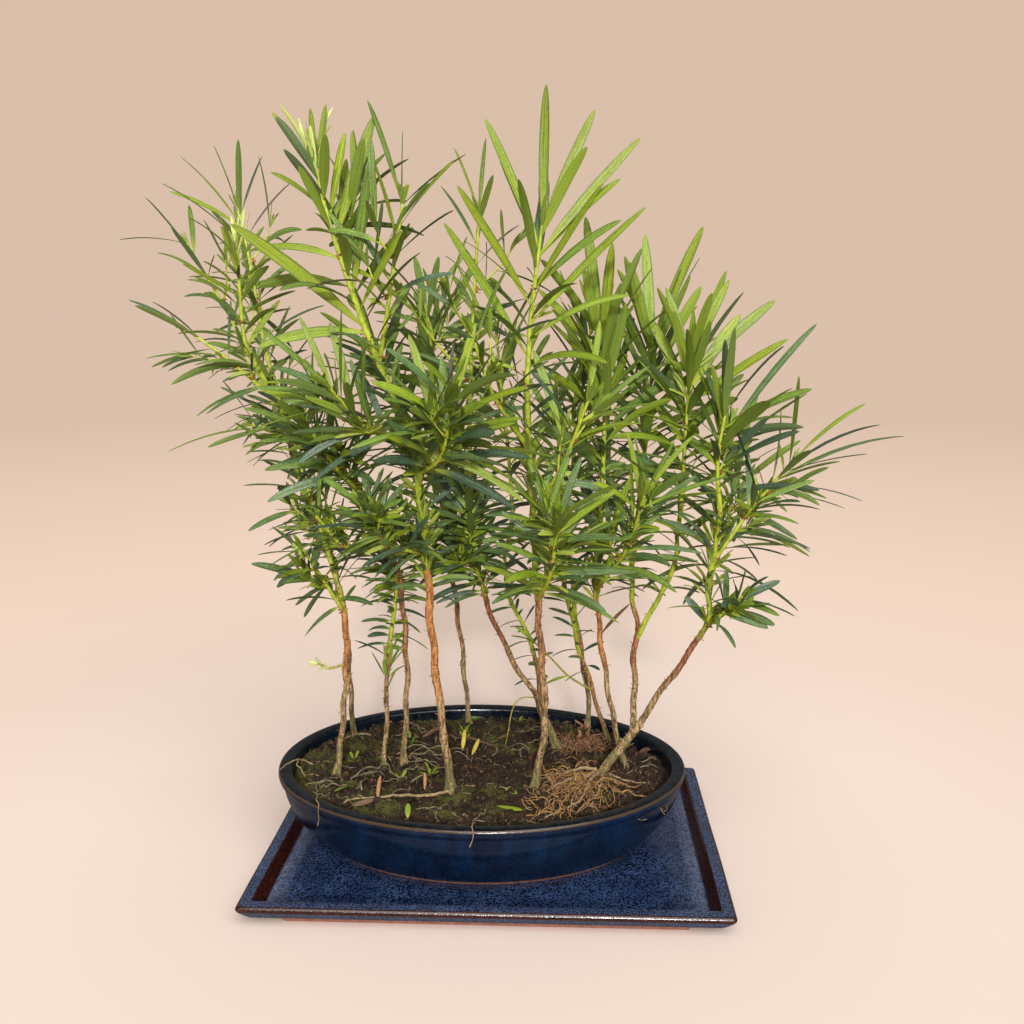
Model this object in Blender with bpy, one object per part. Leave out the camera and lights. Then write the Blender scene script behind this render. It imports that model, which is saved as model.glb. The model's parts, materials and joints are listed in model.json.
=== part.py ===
"""Podocarpus bonsai: a small wood of twelve young stems in one oval pot, on a drip tray.

Units are metres, +Z up.  The origin is the middle of the tray's flat underside, +X is the
right-hand side and -Y the front.  Tables of places are in millimetres.
"""

import math
import random
from collections import namedtuple

import bmesh
import bpy
from mathutils import Quaternion, Vector
from mathutils.bvhtree import BVHTree

MM = 0.001
GAP = 0.3 * MM  # between two solids that rest on each other

# The tray: a shallow oblong dish with a flat rim and a smaller foot under it.
TRAY_LENGTH = 285 * MM
TRAY_DEPTH = 204 * MM
TRAY_HEIGHT = 13 * MM
TRAY_FLOOR = 5 * MM
TRAY_RIM = 9 * MM
TRAY_WALL_SLOPE = 4.5 * MM
TRAY_CORNER = 3 * MM
TRAY_FOOT_INSET = (26 * MM, 9 * MM)
CORNER_STEPS = 4

# The pot: a stack of ovals, each spreading by the same amount all round the foot's oval.
POT_PLACE = (-9.3 * MM, 13.0 * MM)
POT_FOOT_RADII = (105 * MM, 73 * MM)
POT_SPREAD = 28 * MM
POT_TOP = 55.5 * MM
POT_LIP_WIDTH = 9 * MM
POT_WALL = 6.5 * MM
POT_FLOOR = 7 * MM
POT_WALL_FOOT = TRAY_FLOOR + 3 * MM
POT_WALL_HEAD = POT_TOP - 7 * MM
OVAL_STEPS = 40
SOIL_TOP = 50 * MM

# Limbs and leaves.
STEM_SIDES = 7
BOUGH_SIDES = 6
TWIG_SIDES = 3
RING_SPACING = 17 * MM
TWIG_RING_SPACING = 26 * MM
MASS_STEM_THICK = 2.6 * MM
MASS_STEM_THIN = 1.5 * MM
TWIG_THICK = 2.0 * MM
TWIG_THIN = 1.2 * MM
FLARE = 0.75  # how much thicker a stem is at the soil
FLARE_HEIGHT = 9 * MM
ROOT_LOBES = 3
GOLDEN_ANGLE = math.radians(137.5)
LEAF_SECTIONS = ((0.30, 0.95), (0.66, 0.90))  # place along the leaf, share of the full width
SHORT_LEAF = 52 * MM  # shorter ones have one section
LEAF_THICKNESS = 0.016  # of the leaf's length
LEAF_CLEARANCE = 0.45 * MM
LEAF_SHARE = 1 / 7  # its width, of its length
LEAF_NARROWEST = 5 * MM
ROOT_SUNK = 0.4 * MM  # a leaf's root lies this far past the middle of its twig
FIRST_LEAF, LEAFY_STRETCH = 0.06, 0.93  # of a mass's stem
SIDE_LEAF_EVERY = 3  # one leaf in so many sits on a side twig
TRIES = 14
WANDER = 0.18  # how much further round its twig each new try may go, in radians

# How leaves scatter about their rule, in degrees and as shares of their length.
SPREAD_SCATTER = 9
TWIST_SCATTER = 40
REACH_TWIST_SCATTER = 25
LENGTH_SCATTER = (0.82, 1.1)
SAG_AT_TIP, SAG_MORE_BELOW = 0.10, 0.22
SAG_SCATTER = (0.6, 1.3)
REACH_SAG = (0.05, 0.14)

# Side twigs of a mass: where they start along its stem, how far they reach as a share of it, how
# evenly they lean forwards and outwards, and how they bow out.
SIDE_TWIG_FROM, SIDE_TWIG_STRETCH = 0.35, 0.40
SIDE_TWIG_REACH = 0.45
SIDE_TWIG_LEAN = 0.7
SIDE_TWIG_BOW = 2 * MM

Stem = namedtuple("Stem", "way thick thin")
Bough = namedtuple("Bough", "parent at way thick thin")
Mass = namedtuple("Mass", "parent at way leaves length spread twigs look reach")

TIP = None  # a mass or bough that goes on from its parent's tip

# Foot (x, y) and the points (x, y, z) that each stem passes, then its thickness at both ends.
STEMS = {
    "stem_01": Stem([(-103, 1), (-97, 2, 96), (-95, 6, 143), (-98, 8, 168)], 4.8, 4.0),
    "stem_02": Stem(
        [(-103, 58), (-106, 60, 120), (-115, 64, 177), (-137, 70, 232), (-150, 74, 285)], 4.6, 3.2,
    ),
    "stem_03": Stem([(-73, 8), (-71, 10, 90), (-69, 12, 128)], 3.8, 3.0),
    "stem_04": Stem(
        [(-62, 18), (-59, 17, 87), (-58, 15, 130), (-63, 8, 190), (-89, -4, 246), (-130, -12, 297)],
        4.8, 3.2,
    ),
    "stem_05": Stem(
        [(-25, -26), (-31, -28, 105), (-35, -29, 148), (-43, -34, 258), (-65, -42, 327)], 6.4, 4.0,
    ),
    "stem_06": Stem([(-24, 90), (-29, 91, 110), (-36, 94, 166), (-43, 98, 235)], 4.4, 3.3),
    "stem_07": Stem([(42, 47), (34, 46, 66), (26, 46, 88)], 5.6, 4.8),
    "stem_08": Stem(
        [(26, -15), (33, -16, 92), (30, -18, 145), (25, -22, 229), (22, -26, 300)], 5.8, 3.6,
    ),
    "stem_09": Stem([(62, 76), (62, 78, 77), (53, 84, 135), (46, 92, 201)], 4.4, 3.2),
    "stem_10": Stem([(76, 61), (67, 60, 80), (54, 56, 123), (43, 48, 175)], 3.8, 3.0),
    "stem_11": Stem([(86, 13), (76, 14, 90), (66, 16, 158), (67, 18, 203)], 4.4, 3.4),
    "stem_12": Stem([(67, -1), (81, 2, 69), (94, 7, 84)], 6.2, 5.4),
}

# The limbs above a fork: their parent, where on it (a share of its length), points, thickness.
BOUGHS = {
    "bough_07_left": Bough("stem_07", TIP, [(8, 42, 118), (-11, 34, 173), (-17, 28, 239)], 4.4, 3.2),
    "bough_07_right": Bough("stem_07", 0.80, [(24, 54, 118), (8, 60, 151), (4, 62, 180)], 3.8, 3.0),
    "bough_12_outer": Bough(
        "stem_12", TIP, [(107, 6, 107), (132, -2, 151), (134, -5, 185), (139, -6, 223)], 5.0, 3.6,
    ),
    "bough_12_inner": Bough("stem_12", 0.82, [(91, 18, 103), (90, 20, 121), (93, 26, 144)], 4.8, 4.4),
    "bough_12_upright": Bough(
        "bough_12_inner", TIP, [(89, 33, 164), (90, 37, 190), (94, 46, 232)], 4.0, 3.1,
    ),
    "bough_12_middle": Bough(
        "bough_12_inner", 0.86, [(106, 25, 164), (114, 24, 181), (118, 20, 222)], 4.0, 3.1,
    ),
}

# Masses of foliage.  Each: the limb it grows on and where, the points its own stem passes, how many
# leaves, their length low down and high up, the angle they spread at low down and high up, the number
# of side twigs, the look, and the far leaf tips that it reaches (a share of the stem, then x, y, z).
LOW, OPEN, UPRIGHT = (88, 50), (75, 32), (62, 20)
MASSES = {
    "foliage_01_top": Mass(
        "stem_01", TIP, [(-110, 12, 208), (-124, 18, 252)], 18, (32, 46), LOW, 1, "dark", [],
    ),
    "foliage_01_left": Mass(
        "stem_01", 0.90, [(-118, -8, 202)], 11, (26, 34), LOW, 0, "dark", [(0.4, -150, -10, 192),
        (0.8, -138, -2, 214), (0.2, -126, -22, 172)],
    ),
    "foliage_02_top": Mass(
        "stem_02", TIP, [(-160, 78, 327), (-168, 82, 379), (-175, 84, 414)], 22, (46, 52), OPEN, 1,
        "mid", [(1.0, -188, 80, 454), (0.9, -214, 90, 448), (0.95, -159, 92, 448),
        (0.8, -218, 62, 428)],
    ),
    "foliage_02_left": Mass(
        "stem_02", 0.92, [(-180, 66, 345), (-203, 60, 390)], 13, (40, 48), OPEN, 0, "mid",
        [(1.0, -247, 58, 392), (0.9, -224, 48, 418), (0.8, -232, 84, 385)],
    ),
    "foliage_02_back": Mass(
        "stem_02", 0.80, [(-160, 112, 290), (-176, 128, 325)], 14, (40, 46), OPEN, 1, "mid", [],
    ),
    "foliage_02_low": Mass(
        "stem_02", 0.55, [(-135, 98, 190), (-154, 112, 212)], 13, (34, 40), LOW, 0, "dark", [],
    ),
    "foliage_03_top": Mass(
        "stem_03", TIP, [(-63, 14, 170), (-57, 17, 222)], 17, (22, 34), LOW, 0, "dark", [],
    ),
    "foliage_04_top": Mass(
        "stem_04", TIP, [(-144, -16, 325), (-146, -18, 350), (-146, -20, 380)], 19, (50, 32), OPEN, 0,
        "fresh", [(0.7, -165, -60, 372)],
    ),
    "foliage_04_left": Mass(
        "stem_04", 0.93, [(-150, -22, 315), (-175, -26, 335)], 11, (36, 40), OPEN, 0, "mid",
        [(1.0, -212, -20, 353), (0.9, -190, -42, 352), (0.7, -212, 0, 318)],
    ),
    "foliage_04_back": Mass(
        "stem_04", 0.80, [(-128, 8, 268), (-152, 14, 276)], 12, (38, 44), LOW, 0, "dark",
        [(0.9, -209, 20, 258)],
    ),
    "foliage_04_front": Mass(
        "stem_04", 0.72, [(-88, -28, 256), (-92, -50, 282)], 16, (40, 46), OPEN, 0, "mid", [],
    ),
    "foliage_04_low": Mass(
        "stem_04", 0.56, [(-88, -18, 205), (-104, -28, 226)], 12, (32, 40), LOW, 0, "dark", [],
    ),
    "foliage_05_top": Mass(
        "stem_05", TIP, [(-74, -45, 354), (-87, -48, 399), (-92, -49, 424)], 18, (68, 34), UPRIGHT, 1,
        "fresh", [(0.95, -112, -60, 450), (0.1, -133, -75, 392), (0.3, -59, -62, 427),
        (0.6, -62, -34, 452), (0.2, -42, -72, 388), (0.5, -80, -24, 431), (1.0, -94, -49, 454)],
    ),
    "foliage_05_side": Mass(
        "stem_05", 0.96, [(-52, -52, 360), (-44, -56, 403)], 8, (40, 46), UPRIGHT, 0, "mid",
        [(1.0, -65, -36, 460), (1.0, -9, -60, 428), (0.9, -27, -74, 412)],
    ),
    "foliage_05_left": Mass(
        "stem_05", 0.78, [(-68, -58, 285), (-84, -70, 305)], 16, (46, 50), OPEN, 0, "mid",
        [(0.8, -118, -84, 338)],
    ),
    "foliage_05_right": Mass(
        "stem_05", 0.72, [(-24, -66, 268), (-15, -82, 302)], 17, (48, 54), OPEN, 0, "mid", [],
    ),
    "foliage_05_low": Mass(
        "stem_05", 0.55, [(-50, -58, 215), (-50, -78, 240)], 15, (36, 42), LOW, 0, "dark", [],
    ),
    "foliage_06_top": Mass(
        "stem_06", TIP, [(-46, 102, 295), (-53, 106, 352)], 20, (50, 56), OPEN, 1, "mid", [],
    ),
    "foliage_06_left": Mass(
        "stem_06", 0.84, [(-72, 116, 270), (-94, 128, 325)], 15, (44, 52), OPEN, 0, "mid", [],
    ),
    "foliage_06_back": Mass(
        "stem_06", 0.66, [(-34, 126, 215), (-38, 150, 262)], 15, (40, 50), OPEN, 0, "dark", [],
    ),
    "foliage_07_left": Mass(
        "bough_07_left", TIP, [(-14, 22, 322), (-8, 16, 404)], 26, (48, 40), OPEN, 1, "mid",
        [(1.0, -23, 16, 442), (1.0, -4, 22, 448)],
    ),
    "foliage_07_low": Mass(
        "bough_07_left", 0.50, [(-14, 12, 195), (-14, -4, 226)], 15, (36, 42), LOW, 0, "dark", [],
    ),
    "foliage_07_right": Mass(
        "bough_07_right", TIP, [(9, 64, 220), (-1, 66, 330)], 24, (44, 56), OPEN, 1, "mid", [],
    ),
    "foliage_08_top": Mass(
        "stem_08", TIP, [(24, -28, 337), (28, -31, 372), (31, -32, 395)], 15, (58, 64), UPRIGHT, 0,
        "fresh", [(1.0, 33, -32, 468), (0.95, 60, -24, 456), (0.8, 86, -16, 442), (0.6, 64, -58, 413),
        (0.4, 88, -42, 402), (0.85, -1, -28, 451), (0.5, -14, -62, 412), (0.2, -23, -46, 394)],
    ),
    "foliage_08_left": Mass(
        "stem_08", 0.86, [(4, -50, 300), (-7, -64, 335)], 15, (44, 50), OPEN, 0, "mid", [],
    ),
    "foliage_08_right": Mass(
        "stem_08", 0.72, [(42, -46, 258), (57, -62, 298)], 17, (48, 56), OPEN, 0, "mid", [],
    ),
    "foliage_08_low": Mass(
        "stem_08", 0.50, [(36, -48, 195), (41, -72, 235)], 17, (38, 48), OPEN, 0, "mid", [],
    ),
    "foliage_09_top": Mass(
        "stem_09", TIP, [(54, 97, 271), (62, 100, 333)], 20, (48, 56), OPEN, 1, "mid", [],
    ),
    "foliage_09_back": Mass(
        "stem_09", 0.66, [(66, 118, 185), (80, 148, 230)], 15, (42, 50), OPEN, 0, "dark", [],
    ),
    "foliage_10_top": Mass(
        "stem_10", TIP, [(42, 43, 230), (39, 40, 290)], 20, (42, 54), OPEN, 0, "mid", [],
    ),
    "foliage_11_top": Mass(
        "stem_11", TIP, [(69, 20, 278), (66, 22, 331)], 20, (54, 60), UPRIGHT, 0, "fresh",
        [(1.0, 56, 20, 402), (0.9, 72, 8, 386)],
    ),
    "foliage_11_front": Mass(
        "stem_11", 0.80, [(82, -18, 205), (90, -42, 242)], 16, (40, 50), OPEN, 0, "mid", [],
    ),
    "foliage_12_upright": Mass(
        "bough_12_upright", TIP, [(99, 50, 280), (101, 54, 326)], 20, (52, 60), UPRIGHT, 0, "fresh",
        [(1.0, 131, 52, 398), (0.9, 95, 62, 394)],
    ),
    "foliage_12_middle": Mass(
        "bough_12_middle", TIP, [(119, 15, 268), (120, 8, 318)], 18, (50, 56), UPRIGHT, 0, "fresh",
        [(1.0, 142, 10, 364), (0.9, 172, 22, 352), (0.7, 178, 8, 329)],
    ),
    "foliage_12_outer": Mass(
        "bough_12_outer", TIP, [(136, -9, 255), (139, -10, 285)], 14, (56, 60), OPEN, 0, "mid",
        [(1.0, 136, -22, 330), (1.0, 170, -22, 326), (0.7, 198, 22, 338), (0.6, 170, -50, 304)],
    ),
    "foliage_12_right": Mass(
        "bough_12_outer", 0.80, [(155, -8, 225), (180, -12, 258)], 12, (50, 54), OPEN, 0, "dark",
        [(1.0, 224, 0, 291), (0.9, 240, 22, 276), (0.8, 247, -4, 272), (0.8, 200, -42, 262),
        (0.5, 188, -52, 236)],
    ),
    "foliage_12_low": Mass(
        "bough_12_outer", 0.52, [(152, -18, 176)], 11, (26, 34), OPEN, 0, "dark",
        [(1.0, 166, -24, 190), (0.8, 172, -32, 168)],
    ),
    "foliage_12_back": Mass(
        "bough_12_outer", 0.70, [(148, 30, 208), (158, 58, 244)], 15, (44, 50), OPEN, 0, "mid", [],
    ),
}

# Base colour, roughness and metallic value of each finish.
FINISHES = {
    "navy_glaze": ((0.012, 0.035, 0.110), 0.22, 0.0),
    "mottled_blue_glaze": ((0.040, 0.085, 0.240), 0.28, 0.0),
    "damp_soil": ((0.045, 0.028, 0.016), 0.95, 0.0),
    "bark": ((0.270, 0.130, 0.055), 0.85, 0.0),
    "fresh": ((0.260, 0.440, 0.040), 0.45, 0.0),
    "mid": ((0.110, 0.250, 0.035), 0.45, 0.0),
    "dark": ((0.035, 0.110, 0.035), 0.42, 0.0),
}


def clear_scene():
    for obj in list(bpy.data.objects):
        bpy.data.objects.remove(obj, do_unlink=True)


def finish(name):
    """The Principled material of one finish, made on its first use."""
    if name in bpy.data.materials:
        return bpy.data.materials[name]
    colour, roughness, metallic = FINISHES[name]
    material = bpy.data.materials.new(name)
    material.use_nodes = True
    shader = material.node_tree.nodes["Principled BSDF"]
    shader.inputs["Base Color"].default_value = (*colour, 1.0)
    shader.inputs["Roughness"].default_value = roughness
    shader.inputs["Metallic"].default_value = metallic
    return material


def metres(point):
    return Vector(point) * MM


def side_faces(sizes):
    """Faces that join sections of these many points, one after another; a section of 1 is a point."""
    faces = []
    start = 0
    for size, after in zip(sizes, sizes[1:]):
        onward = start + size
        for i in range(max(size, after)):
            j = (i + 1) % max(size, after)
            if size == 1:
                faces.append((start, onward + j, onward + i))
            elif after == 1:
                faces.append((start + i, start + j, onward))
            else:
                faces.append((start + i, start + j, onward + j, onward + i))
        start = onward
    return faces


def loft(sections):
    """Points and faces of a closed solid through these sections, with flat ends."""
    sizes = [len(section) for section in sections]
    faces = side_faces(sizes)
    if sizes[0] > 1:
        faces.append(tuple(reversed(range(sizes[0]))))
    if sizes[-1] > 1:
        total = sum(sizes)
        faces.append(tuple(range(total - sizes[-1], total)))
    return [point for section in sections for point in section], faces


def solid(name, shape, look, collection, smooth=False):
    """An object from points and faces, its faces turned outwards."""
    mesh = bpy.data.meshes.new(name)
    points, faces = shape
    mesh.from_pydata([tuple(point) for point in points], [], faces)
    form = bmesh.new()
    form.from_mesh(mesh)
    bmesh.ops.recalc_face_normals(form, faces=form.faces)
    form.to_mesh(mesh)
    form.free()
    mesh.materials.append(finish(look))
    if smooth:
        mesh.shade_smooth()
        mesh.set_sharp_from_angle(angle=math.radians(40))
    obj = bpy.data.objects.new(name, mesh)
    collection.objects.link(obj)
    return obj


# ---------------------------------------------------------------- tray, pot and soil


def rounded_oblong(inset_x, inset_y, height):
    """The tray's outline drawn in by these insets: four straight sides and four round corners."""
    half_x = TRAY_LENGTH / 2 - inset_x
    half_y = TRAY_DEPTH / 2 - inset_y
    radius = max(TRAY_CORNER - min(inset_x, inset_y) / 2, 2 * MM)
    points = []
    for quarter, (sx, sy) in enumerate(((1, 1), (-1, 1), (-1, -1), (1, -1))):
        for step in range(CORNER_STEPS + 1):
            angle = math.pi / 2 * (quarter + step / CORNER_STEPS)
            x = sx * (half_x - radius) + radius * math.cos(angle)
            y = sy * (half_y - radius) + radius * math.sin(angle)
            points.append(Vector((x, y, height)))
    return points


def tray(collection):
    foot_x, foot_y = TRAY_FOOT_INSET
    top = TRAY_HEIGHT
    inner = TRAY_RIM + TRAY_WALL_SLOPE
    profile = (
        (foot_x, foot_y, 0.0),
        (foot_x - 1 * MM, foot_y - 1 * MM, 3.2 * MM),
        (7 * MM, 5 * MM, 4.2 * MM),
        (1.2 * MM, 1.2 * MM, top - 4.2 * MM),
        (0.0, 0.0, top - 2.2 * MM),
        (0.9 * MM, 0.9 * MM, top - 0.4 * MM),
        (2.2 * MM, 2.2 * MM, top),
        (TRAY_RIM - 1 * MM, TRAY_RIM - 1 * MM, top),
        (TRAY_RIM, TRAY_RIM, top - 0.8 * MM),
        (inner, inner, TRAY_FLOOR),
    )
    sections = [rounded_oblong(*station) for station in profile]
    return solid("tray", loft(sections), "mottled_blue_glaze", collection, smooth=True)


def oval(spread, height):
    """The pot's oval at this height, spread beyond the oval of its foot."""
    points = []
    for step in range(OVAL_STEPS):
        angle = 2 * math.pi * step / OVAL_STEPS
        x = POT_PLACE[0] + (POT_FOOT_RADII[0] + spread) * math.cos(angle)
        y = POT_PLACE[1] + (POT_FOOT_RADII[1] + spread) * math.sin(angle)
        points.append(Vector((x, y, height)))
    return points


def wall_heights(bands=4):
    """Heights from just above the pot's foot to just under its lip."""
    rise = POT_WALL_HEAD - POT_WALL_FOOT
    return [POT_WALL_FOOT + rise * band / bands for band in range(1, bands + 1)]


def wall_spread(height):
    """How far the pot's outer wall stands out at a height: a bowl that rises steeper as it goes up."""
    share = (height - POT_WALL_FOOT) / (POT_WALL_HEAD - POT_WALL_FOOT)
    return (POT_SPREAD - 3 * MM) * math.sin(share * math.pi / 2) ** 0.85


def pot(collection):
    base = TRAY_FLOOR + GAP
    heights = wall_heights()
    inside = POT_SPREAD - POT_LIP_WIDTH
    floor = base + POT_FLOOR
    sections = [oval(-3 * MM, base), oval(-2.4 * MM, base + 2.2 * MM), oval(0.4 * MM, base + 3.4 * MM)]
    sections += [oval(wall_spread(height), height) for height in heights]
    sections += [
        oval(POT_SPREAD - 0.8 * MM, POT_WALL_HEAD + 1.2 * MM),
        oval(POT_SPREAD, POT_TOP - 3.5 * MM),
        oval(POT_SPREAD - 1 * MM, POT_TOP - 0.8 * MM),
        oval(POT_SPREAD - 3 * MM, POT_TOP),
        oval(inside + 1.5 * MM, POT_TOP - 0.2 * MM),
        oval(inside, POT_TOP - 1.5 * MM),
    ]
    sections += [oval(wall_spread(height) - POT_WALL, height) for height in heights[2:0:-1]]
    sections.append(oval(-9 * MM, floor))
    return solid("pot", loft(sections), "navy_glaze", collection, smooth=True)


def soil(collection):
    """What fills the pot, a gap clear of its wall all round."""
    floor = TRAY_FLOOR + GAP + POT_FLOOR
    clear = 2 * GAP
    sections = [oval(-9 * MM - clear, floor + GAP)]
    for height in wall_heights()[1:-1]:
        sections.append(oval(wall_spread(height) - POT_WALL - clear, height + GAP))
    sections.append(oval(POT_SPREAD - POT_LIP_WIDTH - 1 * MM, SOIL_TOP))
    return solid("soil", loft(sections), "damp_soil", collection)


# ---------------------------------------------------------------- limbs


class Path:
    """A smooth line through some points, with a thickness that tapers along it."""

    def __init__(self, way, thick, thin, spacing=RING_SPACING, facing=None):
        self.facing = facing  # the direction that its first ring faces, where a neighbour sets it
        fine = self.curve([Vector(point) for point in way])
        lengths = [0.0]
        for before, after in zip(fine, fine[1:]):
            lengths.append(lengths[-1] + (after - before).length)
        self.length = lengths[-1]
        self.steps = max(2, round(self.length / spacing))
        self.points = []
        k = 0
        for step in range(self.steps + 1):
            wanted = self.length * step / self.steps
            while k < len(fine) - 2 and lengths[k + 1] < wanted:
                k += 1
            share = (wanted - lengths[k]) / (lengths[k + 1] - lengths[k])
            self.points.append(fine[k].lerp(fine[k + 1], share))
        steps = range(self.steps + 1)
        self.radii = [(thick + (thin - thick) * step / self.steps) / 2 for step in steps]

    @staticmethod
    def curve(way, steps=12):
        """Catmull-Rom spline: each stretch leaves and arrives along its neighbours' chord."""
        if len(way) == 2:
            return [way[0].lerp(way[1], step / steps) for step in range(steps + 1)]
        ends = [2 * way[0] - way[1], *way, 2 * way[-1] - way[-2]]
        fine = [way[0]]
        for a, b, c, d in zip(ends, ends[1:], ends[2:], ends[3:]):
            for step in range(1, steps + 1):
                t = step / steps
                fine.append(
                    0.5 * (2 * b + (c - a) * t + (2 * a - 5 * b + 4 * c - d) * t**2
                           + (3 * b - a - 3 * c + d) * t**3)
                )
        return fine

    def at(self, share):
        """Place, direction and radius at a share of the length."""
        k = min(int(share * self.steps), self.steps - 1)
        within = share * self.steps - k
        place = self.points[k].lerp(self.points[k + 1], within)
        radius = self.radii[k] + (self.radii[k + 1] - self.radii[k]) * within
        return place, (self.points[k + 1] - self.points[k]).normalized(), radius


def across(direction):
    """Two unit vectors at right angles to a direction."""
    helper = Vector((1, 0, 0)) if abs(direction.x) < 0.8 else Vector((0, 1, 0))
    first = direction.cross(helper).normalized()
    return first, direction.cross(first)


def tube_sections(path, sides, flare=0.0):
    """Rings along a path.  With a flare, the foot is cut level and swells into root lobes."""
    sections = []
    first = across(path.at(0.0)[1])[0]
    for k, centre in enumerate(path.points):
        before, after = path.points[max(k - 1, 0)], path.points[min(k + 1, path.steps)]
        direction = path.facing if k == 0 and path.facing else (after - before).normalized()
        rise = math.exp(-(centre.z - path.points[0].z) / FLARE_HEIGHT) if flare else 0.0
        direction = direction.lerp(Vector((0, 0, 1)), rise).normalized()
        first = (first - direction * first.dot(direction)).normalized()
        second = direction.cross(first)
        ring = []
        for side in range(sides):
            angle = 2 * math.pi * side / sides
            lobe = 1 + flare * rise * (1 + 0.5 * math.cos(ROOT_LOBES * angle))
            reach = path.radii[k] * lobe
            ring.append(centre + (first * math.cos(angle) + second * math.sin(angle)) * reach)
        sections.append(ring)
    return sections


def start_on(parent, at, target, radius):
    """Where a limb of this radius starts and the direction that it must face there: on from its
    parent's tip, a gap away, or beside its parent, clear of its side."""
    if at is TIP:
        place, direction, _ = parent.at(1.0)
        return place + direction * GAP, direction
    place, direction, thickness = parent.at(at)
    aim = (target - place).normalized()
    outward = (aim - direction * aim.dot(direction)).normalized()
    lean = abs(aim.dot(direction))
    return place + outward * (thickness + GAP + 0.1 * MM + radius * lean), None


def stem_path(stem):
    (foot_x, foot_y), *way = stem.way
    foot = Vector((foot_x * MM, foot_y * MM, SOIL_TOP + GAP))
    return Path([foot, *map(metres, way)], stem.thick * MM, stem.thin * MM)


def bough_path(bough, paths):
    way = [metres(point) for point in bough.way]
    start, facing = start_on(paths[bough.parent], bough.at, way[0], bough.thick * MM / 2)
    return Path([start, *way], bough.thick * MM, bough.thin * MM, facing=facing)


def grow_limbs(collection, paths, taken):
    """Every stem and bough as one tapering solid, noted as space that is taken."""
    limbs = [(name, stem_path(stem), STEM_SIDES, FLARE) for name, stem in STEMS.items()]
    paths.update((name, path) for name, path, *_ in limbs)
    for name, bough in BOUGHS.items():
        paths[name] = bough_path(bough, paths)
        limbs.append((name, paths[name], BOUGH_SIDES, 0.0))
    for name, path, sides, flare in limbs:
        shape = loft(tube_sections(path, sides, flare))
        taken.add(name, shape)
        solid(name, shape, "bark", collection, smooth=True)


# ---------------------------------------------------------------- foliage


class Taken:
    """The space that limbs, twigs and leaves hold, so that no two nodes meet."""

    def __init__(self):
        self.shapes = []

    def add(self, owner, shape):
        points, faces = shape
        centre = sum(points, Vector()) / len(points)
        reach = max((point - centre).length for point in points)
        self.shapes.append((owner, centre, reach, BVHTree.FromPolygons(points, faces)))

    def meets(self, shape, owner=None, only=None):
        """Whether a shape crosses one that another owner holds, or one that this owner holds."""
        points, faces = shape
        centre = sum(points, Vector()) / len(points)
        reach = max((point - centre).length for point in points)
        tree = None
        for holder, middle, extent, other in self.shapes:
            if holder == owner or (only and holder != only):
                continue
            if (middle - centre).length > reach + extent:
                continue
            tree = tree or BVHTree.FromPolygons(points, faces)
            if tree.overlap(other):
                return True
        return False


Leaf = namedtuple("Leaf", "root direction upper length width droop")


def leaf_shape(leaf, margin=0.0, start=0.0):
    """A blade: a point at the root, three-cornered sections, a point at the tip.

    Its middle line leaves the root straight and sags with the square of the way along.  A margin
    swells it, and a start leaves out its root end, both for testing its space.
    """
    def middle(share):
        sag = Vector((0, 0, -leaf.droop * leaf.length * share**2))
        return leaf.root + leaf.direction * (leaf.length * share) + sag

    stations = ((0.45, 1.0),) if leaf.length < SHORT_LEAF else LEAF_SECTIONS
    depth = leaf.length * LEAF_THICKNESS
    sections = [[middle(start) - leaf.direction * margin * (start == 0.0)]]
    for share, fullness in stations:
        ahead = (middle(share + 0.05) - middle(share - 0.05)).normalized()
        side = ahead.cross(leaf.upper).normalized()
        face = side.cross(ahead)
        half = leaf.width / 2 * fullness + margin
        centre = middle(share)
        sections.append([
            centre + side * half + face * (depth * 0.35),
            centre - side * half + face * (depth * 0.35),
            centre - face * (depth * 0.65 + margin),
        ])
    sections.append([middle(1.0) + leaf.direction * margin])
    points = [point for section in sections for point in section]
    return points, side_faces([len(section) for section in sections])


def blend(ends, share):
    """The value at a share of the way between two ends."""
    return ends[0] + (ends[1] - ends[0]) * share


def spread_leaf(path, share, turn, mass, chance):
    """One leaf of a twig, at a turn round it, by the mass's lengths and spreading angles."""
    place, direction, _ = path.at(share)
    first, second = across(direction)
    height = share**1.2
    spread = blend(mass.spread, height) + chance.uniform(-SPREAD_SCATTER, SPREAD_SCATTER)
    angle = math.radians(spread)
    outward = first * math.cos(turn) + second * math.sin(turn)
    aim = direction * math.cos(angle) + outward * math.sin(angle)
    length = blend(mass.length, height) * chance.uniform(*LENGTH_SCATTER) * MM
    twist = Quaternion(aim, math.radians(chance.uniform(-TWIST_SCATTER, TWIST_SCATTER)))
    upper = twist @ (direction - aim * direction.dot(aim)).normalized()
    sag = SAG_AT_TIP + SAG_MORE_BELOW * (1 - height)
    droop = sag * chance.uniform(*SAG_SCATTER) * math.hypot(aim.x, aim.y)
    return Leaf(place - aim * ROOT_SUNK, aim, upper, length, leaf_width(length), droop)


def reaching_leaf(path, share, tip, chance):
    """One leaf whose tip is a far point of the crown's outline."""
    place, direction, _ = path.at(min(share, 0.995))
    span = tip - place
    sag = chance.uniform(*REACH_SAG) * span.length
    raised = span + Vector((0, 0, sag))
    length, aim = raised.length, raised.normalized()
    twist = Quaternion(aim, math.radians(chance.uniform(-REACH_TWIST_SCATTER, REACH_TWIST_SCATTER)))
    upper = twist @ (direction - aim * direction.dot(aim) + Vector((0, -0.02, 0))).normalized()
    return Leaf(place - aim * ROOT_SUNK, aim, upper, length, leaf_width(length), sag / length)


def leaf_width(length):
    """How wide a leaf is: a share of its length, and never very narrow."""
    return max(length * LEAF_SHARE, LEAF_NARROWEST)


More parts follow.
